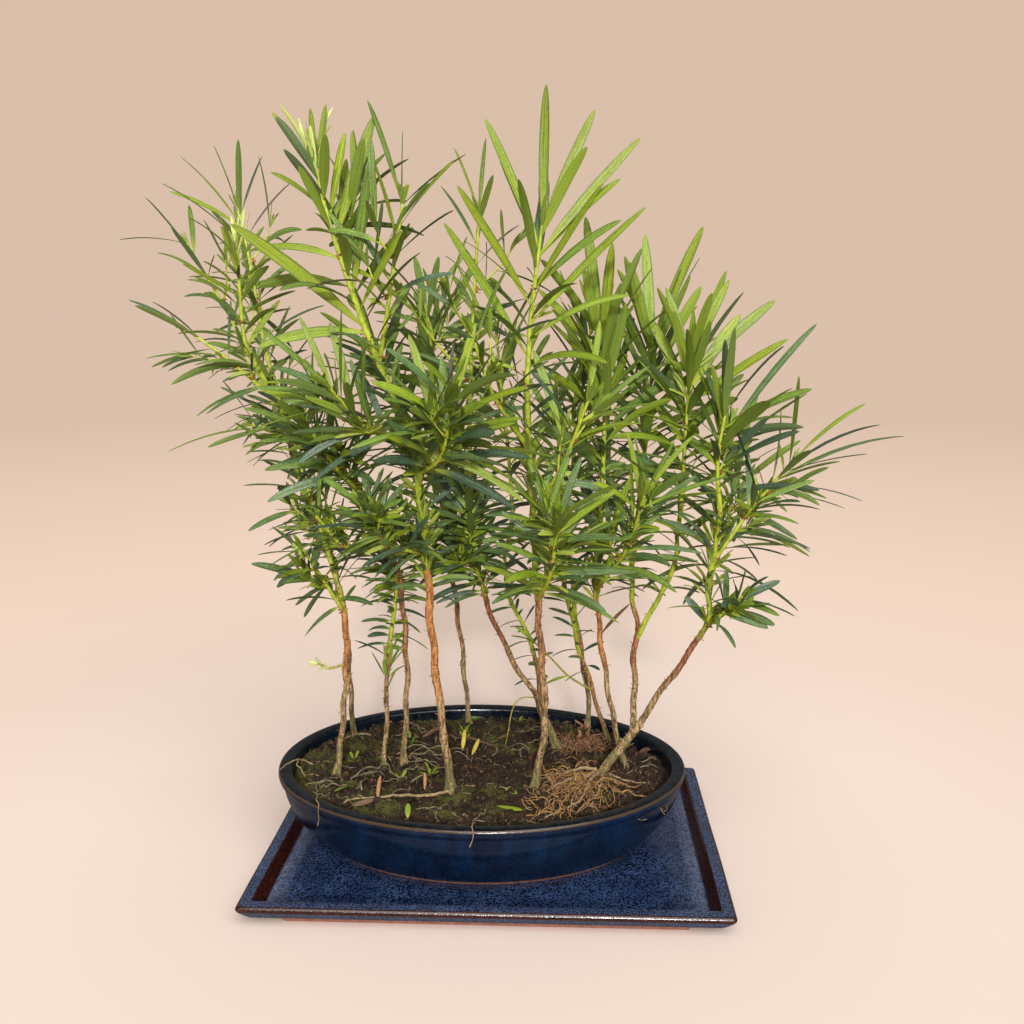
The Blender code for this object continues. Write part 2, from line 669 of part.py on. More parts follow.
def mass_twigs(mass, path, chance):
    """The mass's own stem and the side twigs that branch from it by turns."""
    twigs = [path]
    for number in range(mass.twigs):
        place, direction, _ = path.at(SIDE_TWIG_FROM + SIDE_TWIG_STRETCH * number / mass.twigs)
        first, second = across(direction)
        turn = number * GOLDEN_ANGLE + chance.uniform(0, 2 * math.pi)
        outward = first * math.cos(turn) + second * math.sin(turn)
        end = place + (direction + outward) * SIDE_TWIG_LEAN * path.length * SIDE_TWIG_REACH
        way = [place, place.lerp(end, 0.5) + outward * SIDE_TWIG_BOW, end]
        twigs.append(Path(way, TWIG_THICK, TWIG_THIN, TWIG_RING_SPACING))
    return twigs


def grow_masses(collection, paths, taken):
    """Every mass: first all the twigs, then the leaves in turns, so that no mass crowds another out."""
    chances, twigs, shapes = {}, {}, {}
    for number, (name, mass) in enumerate(MASSES.items()):
        chances[name] = random.Random(number + 11)
        way = [metres(point) for point in mass.way]
        start, facing = start_on(paths[mass.parent], mass.at, way[0], MASS_STEM_THICK / 2)
        stem = Path([start, *way], MASS_STEM_THICK, MASS_STEM_THIN, TWIG_RING_SPACING, facing)
        twigs[name] = mass_twigs(mass, stem, chances[name])
        shapes[name] = []
        for twig in list(twigs[name]):
            shape = loft(tube_sections(twig, TWIG_SIDES))
            if twig is not stem and taken.meets(shape, owner=name):
                twigs[name].remove(twig)
                continue
            shapes[name].append(shape)
            taken.add(name, shape)
    for name, mass in MASSES.items():
        for share, *tip in mass.reach:
            leaf = reaching_leaf(twigs[name][0], share, metres(tip), chances[name])
            add_leaf(name, leaf, shapes, taken)
    for turn in range(max(mass.leaves for mass in MASSES.values())):
        for name, mass in MASSES.items():
            if turn < mass.leaves:
                place_leaf(name, mass, turn, twigs[name], chances[name], shapes, taken)
    for name, mass in MASSES.items():
        fuse(name, shapes[name], mass.look, collection)


def add_leaf(name, leaf, shapes, taken):
    """Keep a leaf if it is clear of every other node, and of its own mass away from its root."""
    if taken.meets(leaf_shape(leaf, LEAF_CLEARANCE), owner=name):
        return False
    if taken.meets(leaf_shape(leaf, start=0.22), only=name):
        return False
    shape = leaf_shape(leaf)
    shapes[name].append(shape)
    taken.add(name, shape)
    return True


def place_leaf(name, mass, turn, twigs, chance, shapes, taken):
    """Try a leaf near its own turn of the spiral until it is clear, and skip it if it never is."""
    stem, *side_twigs = twigs
    share_of_leaves = (turn + 0.5) / mass.leaves
    for attempt in range(TRIES):
        wander = WANDER * attempt
        angle = turn * GOLDEN_ANGLE + chance.uniform(-wander, wander)
        if side_twigs and turn % SIDE_LEAF_EVERY == SIDE_LEAF_EVERY - 1:
            path = side_twigs[turn // SIDE_LEAF_EVERY % len(side_twigs)]
            share = chance.uniform(0.3, 1.0)
        else:
            path, share = stem, FIRST_LEAF + LEAFY_STRETCH * share_of_leaves
        if add_leaf(name, spread_leaf(path, min(share, 0.995), angle, mass, chance), shapes, taken):
            return


def fuse(name, shapes, look, collection):
    """One closed body from a mass's stem, twigs and leaves, by one Boolean union."""
    stem, *others = shapes
    body = solid(name, stem, look, collection)
    parts = bpy.data.collections.new(name + "_parts")
    bpy.context.scene.collection.children.link(parts)
    for number, shape in enumerate(others):
        solid(f"{name}_part_{number}", shape, look, parts)
    union = body.modifiers.new("union", "BOOLEAN")
    union.operation = "UNION"
    union.operand_type = "COLLECTION"
    union.collection = parts
    union.solver = "MANIFOLD"
    bpy.context.view_layer.update()
    evaluated = body.evaluated_get(bpy.context.evaluated_depsgraph_get())
    joined = bpy.data.meshes.new_from_object(evaluated)
    body.modifiers.remove(union)
    body.data = joined
    keep_largest(joined)
    for part in list(parts.objects):
        bpy.data.objects.remove(part, do_unlink=True)
    bpy.data.collections.remove(parts)


def keep_largest(mesh):
    """Fill sealed hollows and drop loose scraps: of the closed skins, only the largest stays."""
    form = bmesh.new()
    form.from_mesh(mesh)
    bmesh.ops.triangulate(form, faces=form.faces)
    left = set(form.faces)
    skins = []
    while left:
        skin, edge = set(), [left.pop()]
        while edge:
            face = edge.pop()
            skin.add(face)
            for side in face.edges:
                for other in side.link_faces:
                    if other in left:
                        left.discard(other)
                        edge.append(other)
        skins.append(skin)
    skins.sort(key=len)
    for skin in skins[:-1]:
        bmesh.ops.delete(form, geom=list(skin), context="FACES")
    form.to_mesh(mesh)
    form.free()


def main():
    clear_scene()
    plant = bpy.data.collections.new("podocarpus_bonsai")
    bpy.context.scene.collection.children.link(plant)
    tray(plant)
    pot(plant)
    soil(plant)
    paths, taken = {}, Taken()
    grow_limbs(plant, paths, taken)
    grow_masses(plant, paths, taken)


main()
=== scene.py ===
"""Podocarpus bonsai, dressed: glazed pot and tray, soil, bark, shoots and leaves round the frame.

Units are metres, +Z up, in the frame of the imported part.  Tables of places are in millimetres.
Every new piece is a surface worked out as whole arrays: a profile carried round an oval or an
oblong, a ring carried along a limb, or a blade carried along a leaf's middle line.
"""

import json
import math
from collections import namedtuple

import bpy
import numpy as np
from mathutils import Matrix

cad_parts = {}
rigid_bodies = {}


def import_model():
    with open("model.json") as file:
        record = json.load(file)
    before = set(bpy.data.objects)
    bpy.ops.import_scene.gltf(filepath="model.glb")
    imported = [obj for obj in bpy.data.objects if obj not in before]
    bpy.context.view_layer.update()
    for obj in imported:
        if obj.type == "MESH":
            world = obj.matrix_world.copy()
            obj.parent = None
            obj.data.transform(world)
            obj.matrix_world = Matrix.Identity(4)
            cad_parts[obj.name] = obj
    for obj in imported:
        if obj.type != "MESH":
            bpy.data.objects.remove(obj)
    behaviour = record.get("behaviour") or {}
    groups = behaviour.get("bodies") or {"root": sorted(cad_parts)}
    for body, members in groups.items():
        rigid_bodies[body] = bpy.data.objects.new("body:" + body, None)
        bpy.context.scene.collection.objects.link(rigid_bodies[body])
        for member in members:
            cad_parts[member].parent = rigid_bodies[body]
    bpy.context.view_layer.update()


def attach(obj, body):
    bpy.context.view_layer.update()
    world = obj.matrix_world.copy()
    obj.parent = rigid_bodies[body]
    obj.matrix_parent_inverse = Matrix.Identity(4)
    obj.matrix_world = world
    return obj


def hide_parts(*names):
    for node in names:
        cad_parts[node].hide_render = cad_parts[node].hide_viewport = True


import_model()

MM = 0.001
GOLDEN_ANGLE = math.radians(137.5)
ROUND = 2 * np.pi
UP = np.array([0, 0, 1.0])
seeded = np.random.default_rng

# ---------------------------------------------------------------- sizes shared with the solids

TRAY_LENGTH, TRAY_DEPTH, TRAY_HEIGHT = 285 * MM, 204 * MM, 13 * MM
TRAY_FLOOR, TRAY_RIM, TRAY_WALL_SLOPE, TRAY_CORNER = 5 * MM, 9 * MM, 4.5 * MM, 3 * MM
TRAY_FOOT_INSET = (26 * MM, 9 * MM)

POT_PLACE = np.array([-9.3 * MM, 13.0 * MM])
POT_FOOT_RADII = np.array([105 * MM, 73 * MM])
POT_SPREAD, POT_TOP, POT_LIP_WIDTH, POT_WALL = 28 * MM, 55.5 * MM, 9 * MM, 6.5 * MM
POT_FLOOR, POT_WALL_FOOT, POT_WALL_HEAD = 12.3 * MM, TRAY_FLOOR + 3 * MM, POT_TOP - 7 * MM
SOIL_TOP = 50 * MM

FLARE, FLARE_HEIGHT, ROOT_LOBES = 0.62, 7 * MM, 3
TIP = None  # a mass or bough that goes on from its parent's tip
LOWEST_AIM = -0.22  # no leaf sets out more steeply down than this

# Green: the height in mm at which the bark is fully green.  Leafy: from where it bears leaves.
looks = dict(defaults=(200, 160, "bark_tan", False))
Stem = namedtuple("Stem", "way thick thin green leafy bark short", **looks)
Bough = namedtuple("Bough", "parent at way thick thin green leafy bark short", **looks)
Mass = namedtuple("Mass", "parent at way leaves length spread twigs look finer broad reach lowest",
                  defaults=(1.0, (), LOWEST_AIM))

# Foot (x, y) and the points (x, y, z) that each stem passes, then its thickness at both ends.
STEMS = {
    "stem_01": Stem([(-103, 1), (-97, 2, 96), (-95, 6, 143), (-98, 8, 168)], 4.8, 4.0, green=172,
        bark="bark_orange", short=True),
    "stem_02": Stem([(-103, 58), (-106, 60, 120), (-115, 64, 177), (-137, 70, 232), (-150, 74, 285)], 4.6,
        3.2),
    "stem_03": Stem([(-73, 8), (-71, 10, 90), (-69, 12, 128)], 3.8, 3.0, leafy=122, bark="bark_red",
        short=True),
    "stem_04": Stem([(-62, 18), (-59, 17, 87), (-58, 15, 130), (-63, 8, 190), (-89, -4, 246),
        (-130, -12, 297)], 4.8, 3.2, green=205),
    "stem_05": Stem([(-25, -26), (-31, -28, 105), (-35, -29, 148), (-43, -34, 258), (-65, -42, 327)], 6.4,
        4.0, green=208, leafy=172, bark="bark_orange"),
    "stem_06": Stem([(-24, 90), (-29, 91, 110), (-36, 94, 166), (-43, 98, 235)], 4.4, 3.3, green=188),
    "stem_07": Stem([(42, 47), (34, 46, 66), (26, 46, 88)], 5.6, 4.8),
    "stem_08": Stem([(26, -15), (33, -16, 92), (30, -18, 145), (25, -22, 229), (22, -26, 300)], 5.8, 3.6,
        green=188, leafy=176),
    "stem_09": Stem([(62, 76), (62, 78, 77), (53, 84, 135), (46, 92, 201)], 4.4, 3.2, green=125),
    "stem_10": Stem([(76, 61), (67, 60, 80), (54, 56, 123), (43, 48, 175)], 3.8, 3.0, green=68, leafy=100,
        short=True),
    "stem_11": Stem([(86, 13), (76, 14, 90), (66, 16, 158), (67, 18, 203)], 4.4, 3.4, green=178,
        bark="bark_orange"),
    "stem_12": Stem([(67, -1), (81, 2, 69), (94, 7, 84)], 6.2, 5.4),
}

# The limbs above a fork: their parent, where on it (a share of its length), points, thickness.
BOUGHS = {
    "bough_07_left": Bough("stem_07", TIP, [(8, 42, 118), (-11, 34, 173), (-17, 28, 239)], 4.4, 3.2,
        green=190, bark="bark_red"),
    "bough_07_right": Bough("stem_07", 0.80, [(24, 54, 118), (8, 60, 151), (4, 62, 180)], 3.8, 3.0,
        green=90, leafy=96, short=True),
    "bough_12_outer": Bough("stem_12", TIP, [(107, 6, 107), (132, -2, 151), (134, -5, 185), (139, -6, 223)],
        5.0, 3.6, green=160, leafy=162, bark="bark_red"),
    "bough_12_inner": Bough("stem_12", 0.82, [(91, 18, 103), (90, 20, 121), (93, 26, 144)], 4.8, 4.4,
        green=165, bark="bark_red"),
    "bough_12_upright": Bough("bough_12_inner", TIP, [(89, 33, 164), (90, 37, 190), (94, 46, 232)], 4.0,
        3.1, green=168),
    "bough_12_middle": Bough("bough_12_inner", 0.86, [(106, 25, 164), (114, 24, 181), (118, 20, 222)], 4.0,
        3.1, green=138, leafy=165),
}

# Masses of foliage.  Each: the limb it grows on and where, the points its own stem passes, how many
# leaves the solid has, their length low down and high up, the angle they spread at low down and high
# up, the number of side twigs, the look, the leaves in place of each one of the solid's, how much
# broader they are than the usual, the far leaf tips that it reaches (a share of the stem, then
# x, y, z), and how steeply down its leaves may set out.
LOW, OPEN, UPRIGHT = (88, 50), (75, 32), (62, 20)
MASSES = {
    "01_top": ("stem_01", TIP, [(-110, 12, 208), (-124, 18, 252)], 18, (32, 46), LOW, 1, "dark", 1.0, 1.35),
    "01_left": ("stem_01", 0.90, [(-118, -8, 202)], 11, (26, 34), LOW, 0, "dark", 1.3, 1.9,
        [(0.4, -150, -10, 192), (0.8, -138, -2, 214), (0.2, -126, -22, 172)], -1.0),
    "02_top": ("stem_02", TIP, [(-160, 78, 327), (-168, 82, 379), (-175, 84, 414)], 22, (46, 52), OPEN, 1,
        "mid", 1.1, 0.88, [(1.0, -188, 80, 454), (0.9, -214, 90, 448), (0.95, -159, 92, 448),
        (0.8, -218, 62, 428)]),
    "02_left": ("stem_02", 0.92, [(-180, 66, 345), (-203, 60, 390)], 13, (40, 48), OPEN, 0, "dark", 1.0,
        0.78, [(1.0, -247, 58, 392), (0.9, -224, 48, 418), (0.8, -232, 84, 385)]),
    "02_back": ("stem_02", 0.80, [(-160, 112, 290), (-176, 128, 325)], 14, (40, 46), OPEN, 1, "dark", 1.1,
        0.80),
    "02_low": ("stem_02", 0.55, [(-135, 98, 190), (-154, 112, 212)], 13, (34, 40), LOW, 0, "dark", 1.1,
        1.15),
    "03_top": ("stem_03", TIP, [(-63, 14, 170), (-57, 17, 222)], 17, (22, 34), LOW, 0, "dark", 4.4, 1.3),
    "04_top": ("stem_04", TIP, [(-144, -16, 325), (-146, -18, 350), (-146, -20, 380)], 19, (50, 32), OPEN,
        0, "fresh", 1.15, 1.0, [(0.7, -165, -60, 372)]),
    "04_left": ("stem_04", 0.93, [(-150, -22, 315), (-175, -26, 335)], 11, (36, 40), OPEN, 0, "dark", 1.0,
        0.82, [(1.0, -212, -20, 353), (0.9, -190, -42, 352), (0.7, -212, 0, 318)]),
    "04_back": ("stem_04", 0.80, [(-128, 8, 268), (-152, 14, 276)], 12, (38, 44), LOW, 0, "dark", 1.3, 0.90,
        [(0.9, -209, 20, 258)]),
    "04_front": ("stem_04", 0.72, [(-92, -26, 256), (-104, -42, 282)], 16, (38, 44), OPEN, 0, "mid", 2.9,
        1.15),
    "04_low": ("stem_04", 0.56, [(-88, -18, 205), (-104, -28, 226)], 12, (32, 40), LOW, 0, "dark", 2.2, 1.0,
        [], -0.5),
    "05_top": ("stem_05", TIP, [(-74, -45, 354), (-87, -48, 399), (-92, -49, 424)], 18, (68, 34), UPRIGHT,
        1, "fresh", 1.6, 1.35, [(0.95, -112, -60, 450), (0.1, -133, -75, 392), (0.3, -59, -62, 427),
        (0.6, -62, -34, 452), (0.2, -42, -72, 388), (0.5, -80, -24, 431), (1.0, -94, -49, 454)]),
    "05_side": ("stem_05", 0.96, [(-52, -52, 360), (-44, -56, 403)], 8, (40, 46), UPRIGHT, 0, "mid", 2.2,
        1.0, [(1.0, -65, -36, 460), (1.0, -9, -60, 428), (0.9, -27, -74, 412)]),
    "05_left": ("stem_05", 0.78, [(-68, -58, 285), (-84, -70, 305)], 16, (46, 50), OPEN, 0, "mid", 3.0, 1.0,
        [(0.8, -118, -84, 338)]),
    "05_right": ("stem_05", 0.72, [(-24, -66, 268), (-15, -82, 302)], 17, (48, 54), OPEN, 0, "mid", 3.4,
        1.25),
    "05_low": ("stem_05", 0.55, [(-58, -50, 215), (-71, -60, 238)], 15, (30, 38), LOW, 0, "dark", 5.0,
        1.15),
    "06_top": ("stem_06", TIP, [(-46, 102, 295), (-53, 106, 352)], 20, (50, 56), OPEN, 1, "mid", 3.2, 1.15),
    "06_left": ("stem_06", 0.84, [(-72, 116, 270), (-94, 128, 325)], 15, (44, 52), OPEN, 0, "mid", 3.0),
    "06_back": ("stem_06", 0.66, [(-34, 126, 215), (-38, 150, 262)], 15, (40, 50), OPEN, 0, "dark", 4.2),
    "07_left": ("bough_07_left", TIP, [(-14, 22, 322), (-8, 16, 404)], 26, (48, 40), OPEN, 1, "mid", 0.8,
        1.0, [(1.0, -23, 16, 442), (1.0, -4, 22, 448)]),
    "07_low": ("bough_07_left", 0.50, [(-14, 12, 195), (-14, -4, 226)], 15, (36, 42), LOW, 0, "dark", 5.6,
        1.2),
    "07_right": ("bough_07_right", TIP, [(9, 64, 220), (-1, 66, 330)], 24, (44, 56), OPEN, 1, "mid", 1.3),
    "08_top": ("stem_08", TIP, [(24, -28, 337), (28, -31, 372), (31, -32, 395)], 15, (58, 64), UPRIGHT, 0,
        "fresh", 1.1, 1.0, [(1.0, 33, -32, 468), (0.95, 60, -24, 456), (0.8, 86, -16, 442),
        (0.6, 64, -58, 413), (0.4, 88, -42, 402), (0.85, -1, -28, 451), (0.5, -14, -62, 412),
        (0.2, -23, -46, 394)]),
    "08_left": ("stem_08", 0.86, [(4, -50, 300), (-7, -64, 335)], 15, (44, 50), OPEN, 0, "mid", 0.6),
    "08_right": ("stem_08", 0.72, [(42, -46, 258), (57, -62, 298)], 17, (48, 56), OPEN, 0, "mid", 0.8),
    "08_low": ("stem_08", 0.50, [(36, -48, 195), (41, -72, 235)], 17, (38, 48), OPEN, 0, "mid", 3.6, 1.15),
    "09_top": ("stem_09", TIP, [(54, 97, 271), (62, 100, 333)], 20, (48, 56), OPEN, 1, "mid", 2.3, 1.15),
    "09_back": ("stem_09", 0.66, [(66, 118, 185), (80, 148, 230)], 15, (42, 50), OPEN, 0, "dark", 2.3),
    "10_top": ("stem_10", TIP, [(42, 43, 230), (39, 40, 290)], 20, (42, 54), OPEN, 0, "mid", 2.3),
    "11_top": ("stem_11", TIP, [(69, 20, 278), (66, 22, 331)], 20, (54, 60), UPRIGHT, 0, "fresh", 2.3, 1.2,
        [(1.0, 56, 20, 402), (0.9, 72, 8, 386)]),
    "11_front": ("stem_11", 0.80, [(82, -18, 205), (90, -42, 242)], 16, (40, 50), OPEN, 0, "mid", 3.2),
    "12_upright": ("bough_12_upright", TIP, [(99, 50, 280), (101, 54, 326)], 20, (52, 60), UPRIGHT, 0,
        "fresh", 2.3, 1.2, [(1.0, 131, 52, 398), (0.9, 95, 62, 394)]),
    "12_middle": ("bough_12_middle", TIP, [(119, 15, 268), (120, 8, 318)], 18, (50, 56), UPRIGHT, 0,
        "fresh", 2.3, 1.2, [(1.0, 142, 10, 364), (0.9, 172, 22, 352), (0.7, 178, 8, 329)]),
    "12_outer": ("bough_12_outer", TIP, [(136, -9, 255), (139, -10, 285)], 14, (56, 60), OPEN, 0, "mid",
        2.1, 1.1, [(1.0, 136, -22, 330), (1.0, 170, -22, 326), (0.7, 198, 22, 338), (0.6, 170, -50, 304)]),
    "12_right": ("bough_12_outer", 0.80, [(155, -8, 225), (180, -12, 258)], 12, (50, 54), OPEN, 0, "dark",
        1.9, 1.0, [(1.0, 224, 0, 291), (0.9, 240, 22, 276), (0.8, 247, -4, 272), (0.8, 200, -42, 262),
        (0.5, 188, -52, 236)]),
    "12_low": ("bough_12_outer", 0.52, [(152, -18, 176)], 11, (26, 34), OPEN, 0, "dark", 1.5, 1.9,
        [(1.0, 166, -24, 190), (0.8, 172, -32, 168)], -0.7),
    "12_back": ("bough_12_outer", 0.70, [(148, 30, 208), (158, 58, 244)], 15, (44, 50), OPEN, 0, "mid",
        2.8),
}
MASSES = {"foliage_" + name: Mass(*row) for name, row in MASSES.items()}

# ---------------------------------------------------------------- surfaces as whole arrays

Surface = namedtuple("Surface", "points quads tris uv marks")


def unit(vectors):
    """Vectors divided by their own length."""
    return vectors / np.maximum(np.linalg.norm(vectors, axis=-1, keepdims=True), 1e-9)


def xyz(*parts):
    """Coordinates side by side as the last axis."""
    return np.stack(np.broadcast_arrays(*parts), -1)


def turns_of(count):
    """Even angles once round."""
    return np.linspace(0, ROUND, count, endpoint=False)


def circle(first, second, angle):
    """Unit vectors at angles round an axis, from the two that stand across it."""
    return first[:, None] * np.cos(angle)[:, None] + second[:, None] * np.sin(angle)[:, None]


def read_off(shares, known, values):
    """Rows of three values, known at some shares of the way, read off at others."""
    return np.stack([np.interp(shares, known, values[:, k]) for k in range(3)], -1)


def closed_faces(rings, sides, copies):
    """Faces of closed rounds, each stored as a pole, rings of points and a pole.

    Point i of a ring joins point i of the next in a four-cornered face, and a fan closes each end.
    """
    each = rings * sides + 2
    i = np.arange(sides)
    j = (i + 1) % sides
    start = 1 + np.arange(rings - 1)[:, None] * sides
    quads = np.stack([start + i, start + j, start + j + sides, start + i + sides], -1).reshape(-1, 4)
    last = 1 + (rings - 1) * sides
    near = np.stack([0 * i, 1 + j, 1 + i], -1)
    far = np.stack([last + i, last + j, 0 * i + each - 1], -1)
    shift = (np.arange(copies) * each)[:, None, None]
    return (quads + shift).reshape(-1, 4), (np.concatenate([near, far]) + shift).reshape(-1, 3)


def closed_rounds(first, rings, last, ring_uv, **marks):
    """Closed rounds from arrays: first and last poles (copies, 3), rings (copies, rings, sides, 3)."""
    copies, count, sides, _ = rings.shape

    def with_poles(values, width):
        """Values of the rings, with the mean of the first and of the last ring for the poles."""
        values = np.broadcast_to(values, (copies, count, sides, width))
        ends = [values[:, end].mean(1, keepdims=True) for end in (0, -1)]
        return np.concatenate([ends[0], values.reshape(copies, -1, width), ends[1]], 1).reshape(-1, width)

    points = np.concatenate([first[:, None], rings.reshape(copies, -1, 3), last[:, None]], 1)
    marks = {name: with_poles(np.asarray(values)[..., None], 1).ravel() for name, values in marks.items()}
    quads, tris = closed_faces(count, sides, copies)
    return Surface(points.reshape(-1, 3), quads, tris, with_poles(ring_uv, 2), marks)


def joined(surfaces):
    """Several surfaces as one, their point numbers moved on."""
    starts = np.cumsum([0] + [len(surface.points) for surface in surfaces[:-1]])
    return Surface(
        np.concatenate([surface.points for surface in surfaces]),
        np.concatenate([surface.quads + start for surface, start in zip(surfaces, starts)]),
        np.concatenate([surface.tris + start for surface, start in zip(surfaces, starts)]),
        np.concatenate([surface.uv for surface in surfaces]),
        {name: np.concatenate([surface.marks[name] for surface in surfaces]) for name in surfaces[0].marks},
    )


def linked(name, data):
    """An object for some data, in the scene."""
    obj = bpy.data.objects.new(name, data)
    bpy.context.scene.collection.objects.link(obj)
    return obj


def piece(name, surface, material, nodes=(), crease=None):
    """A finished piece: its mesh from arrays, its material, the body it rides on and what it stands for."""
    mesh = bpy.data.meshes.new(name)
    corners = np.concatenate([surface.quads.ravel(), surface.tris.ravel()]).astype(np.int32)
    sizes = np.concatenate([np.full(len(surface.quads), 4), np.full(len(surface.tris), 3)])
    mesh.vertices.add(len(surface.points))
    mesh.vertices.foreach_set("co", surface.points.astype(np.float32).ravel())
    mesh.loops.add(len(corners))
    mesh.loops.foreach_set("vertex_index", corners)
    mesh.polygons.add(len(sizes))
    mesh.polygons.foreach_set("loop_start", (np.cumsum(sizes) - sizes).astype(np.int32))
    mesh.update(calc_edges=True)
    layer = mesh.uv_layers.new(name="surface")
    layer.uv.foreach_set("vector", surface.uv[corners].astype(np.float32).ravel())
    for mark, values in surface.marks.items():
        attribute = mesh.attributes.new(mark, "FLOAT", "POINT")
        attribute.data.foreach_set("value", values.astype(np.float32))
    mesh.shade_smooth()
    if crease:
        mesh.set_sharp_from_angle(angle=math.radians(crease))
    mesh.materials.append(material)
    obj = linked(name, mesh)
    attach(obj, "root")
    if nodes:
        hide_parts(*nodes)


def carried_round(name, rings, middle, ends, marks, material, node):
    """A piece from a profile carried round, closed by a pole over the middle at each end."""
    poles = [np.append(middle, height)[None] for height in ends]
    uv = np.stack(np.meshgrid(np.linspace(0, 1, rings.shape[1]), np.arange(len(rings)) / len(rings)), -1)
    marks = {mark: values.reshape(1, len(rings), -1) for mark, values in marks.items()}
    piece(name, closed_rounds(poles[0], rings[None], poles[1], uv[None], **marks), material, [node])


def rough(x, y, grain, seed):
    """Smooth random field, 0 to 1: random values on a square grid a grain wide, blended by smooth steps.
    The grid repeats after so many cells, and its start lies well to the left of everything."""
    cells = 64
    table = seeded(seed).random((cells, cells))
    u, v = x / grain + 10 * cells, y / grain + 10 * cells
    i, j = np.floor(u).astype(int), np.floor(v).astype(int)
    a, b = u - i, v - j
    a, b = a * a * (3 - 2 * a), b * b * (3 - 2 * b)
    left, right = i % cells, (i + 1) % cells
    low, high = (table[left, row % cells] * (1 - a) + table[right, row % cells] * a for row in (j, j + 1))
    return low * (1 - b) + high * b


def ripple(angle, along, turns, pitch, count, chance):
    """Waves round a limb: a sum of cosines, each with a whole number of turns round and a pitch along."""
    total = 0
    for _ in range(count):
        round_it = chance.integers(turns[0], turns[1] + 1)
        wave = chance.uniform(*pitch) * chance.choice([-1, 1])
        total = total + np.cos(round_it * angle + ROUND * along / wave + chance.uniform(0, ROUND))
    return total / math.sqrt(count)


def round_corners(profile, radius, steps=6):
    """A profile with each inner corner replaced by a quadratic arc that starts a radius before it."""
    rounded = [profile[:1]]
    t = np.linspace(0, 1, steps)[:, None]
    for before, corner, after in zip(profile, profile[1:], profile[2:]):
        to, on = before - corner, after - corner
        start = corner + to * min(radius / np.linalg.norm(to), 0.48)
        end = corner + on * min(radius / np.linalg.norm(on), 0.48)
        rounded.append((1 - t) ** 2 * start + 2 * t * (1 - t) * corner + t**2 * end)
    return np.concatenate([*rounded, profile[-1:]])


# ---------------------------------------------------------------- materials


class Ink:
    """Short hand for a node tree: adds a node, sets or links its inputs, and gives back an output."""

    def __init__(self, tree):
        self.tree = tree

    def fill(self, node, inputs):
        """Each input by its name or number: linked if it is another node's output, else set."""
        for socket, value in inputs.items():
            if isinstance(value, bpy.types.NodeSocket):
                self.tree.links.new(value, node.inputs[socket])
            elif node.inputs[socket].type == "RGBA":
                node.inputs[socket].default_value = (*value, 1.0)
            else:
                node.inputs[socket].default_value = value
        return node

    def add(self, kind, *inputs, **settings):
        """A node with its settings, and its inputs in their order or as one dictionary."""
        node = self.tree.nodes.new("ShaderNode" + kind)
        for name, value in settings.items():
            setattr(node, name, value)
        named = inputs and isinstance(inputs[0], dict)
        return self.fill(node, inputs[0] if named else dict(enumerate(inputs)))

    def mix(self, share, first, second, blend="MIX"):
        """A colour between two, by a share."""
        return self.add("Mix", {0: share, 6: first, 7: second}, data_type="RGBA", blend_type=blend).outputs[2]

    def math(self, operation, first, second=0.5, third=0.5):
        return self.add("Math", first, second, third, operation=operation).outputs[0]

    def times(self, first, second):
        return self.math("MULTIPLY", first, second)

    def plus(self, first, second):
        return self.math("ADD", first, second)

    def less(self, first, second):
        return self.math("SUBTRACT", first, second)

    def span(self, value, low, high, to_low=0.0, to_high=1.0):
        """A value stretched from one range to another, and held inside it."""
        inputs = value, low, high, to_low, to_high
        return self.add("MapRange", *inputs, interpolation_type="SMOOTHSTEP").outputs[0]

    def tones(self, value, low, high, first, second):
        """From one colour to another while a value goes from low to high."""
        return self.mix(self.span(value, low, high), first, second)

    def over(self, base, mask, strength, tone):
        """A colour laid on a base as far as a mask and a strength let it."""
        return self.mix(self.times(mask, strength), base, tone)

    def noise(self, place, scale, detail, rough=0.55):
        inputs = {"Vector": place, "Scale": scale, "Detail": detail, "Roughness": rough}
        return self.add("TexNoise", inputs).outputs[0]

    def mark(self, name):
        """One of the surface's own marks."""
        return self.add("Attribute", attribute_name=name).outputs["Fac"]


def group(name, kinds, output, build):
    """A shader node group with named inputs and one output, built once."""
    tree = bpy.data.node_groups.new(name, "ShaderNodeTree")
    for socket, kind in kinds.items():
        tree.interface.new_socket(socket, in_out="INPUT", socket_type="NodeSocket" + kind)
    tree.interface.new_socket("Out", in_out="OUTPUT", socket_type="NodeSocket" + output)
    given, result = tree.nodes.new("NodeGroupInput"), tree.nodes.new("NodeGroupOutput")
    tree.links.new(build(Ink(tree), given.outputs), result.inputs[0])
    return tree


def mottle(ink, given):
    """Two colours in soft blotches: noise at a scale, its middle stretched by a contrast."""
    field = ink.noise(given["Place"], given["Scale"], 4.0, 0.6)
    half = ink.math("DIVIDE", 0.25, given["Contrast"])
    return ink.tones(field, ink.less(0.5, half), ink.plus(0.5, half), given["One"], given["Other"])


def specks(ink, given):
    """Round specks: the cells of a point pattern, each kept within a radius and only by its own chance."""
    cells = ink.add("TexVoronoi", {"Vector": given["Place"], "Scale": given["Scale"]})
    disc = ink.math("LESS_THAN", cells.outputs["Distance"], given["Size"])
    chosen = ink.add("SeparateColor", cells.outputs["Color"]).outputs[0]
    return ink.times(disc, ink.math("LESS_THAN", chosen, given["Share"]))


def broken_edge(ink, given):
    """Where glaze runs thin on an edge: the edge's own mark, its border frayed by noise."""
    fray = ink.less(ink.noise(given["Place"], given["Scale"], 4.0), 0.5)
    return ink.span(ink.math("MULTIPLY_ADD", fray, given["Fray"], given["Edge"]), 0.35, 0.65)


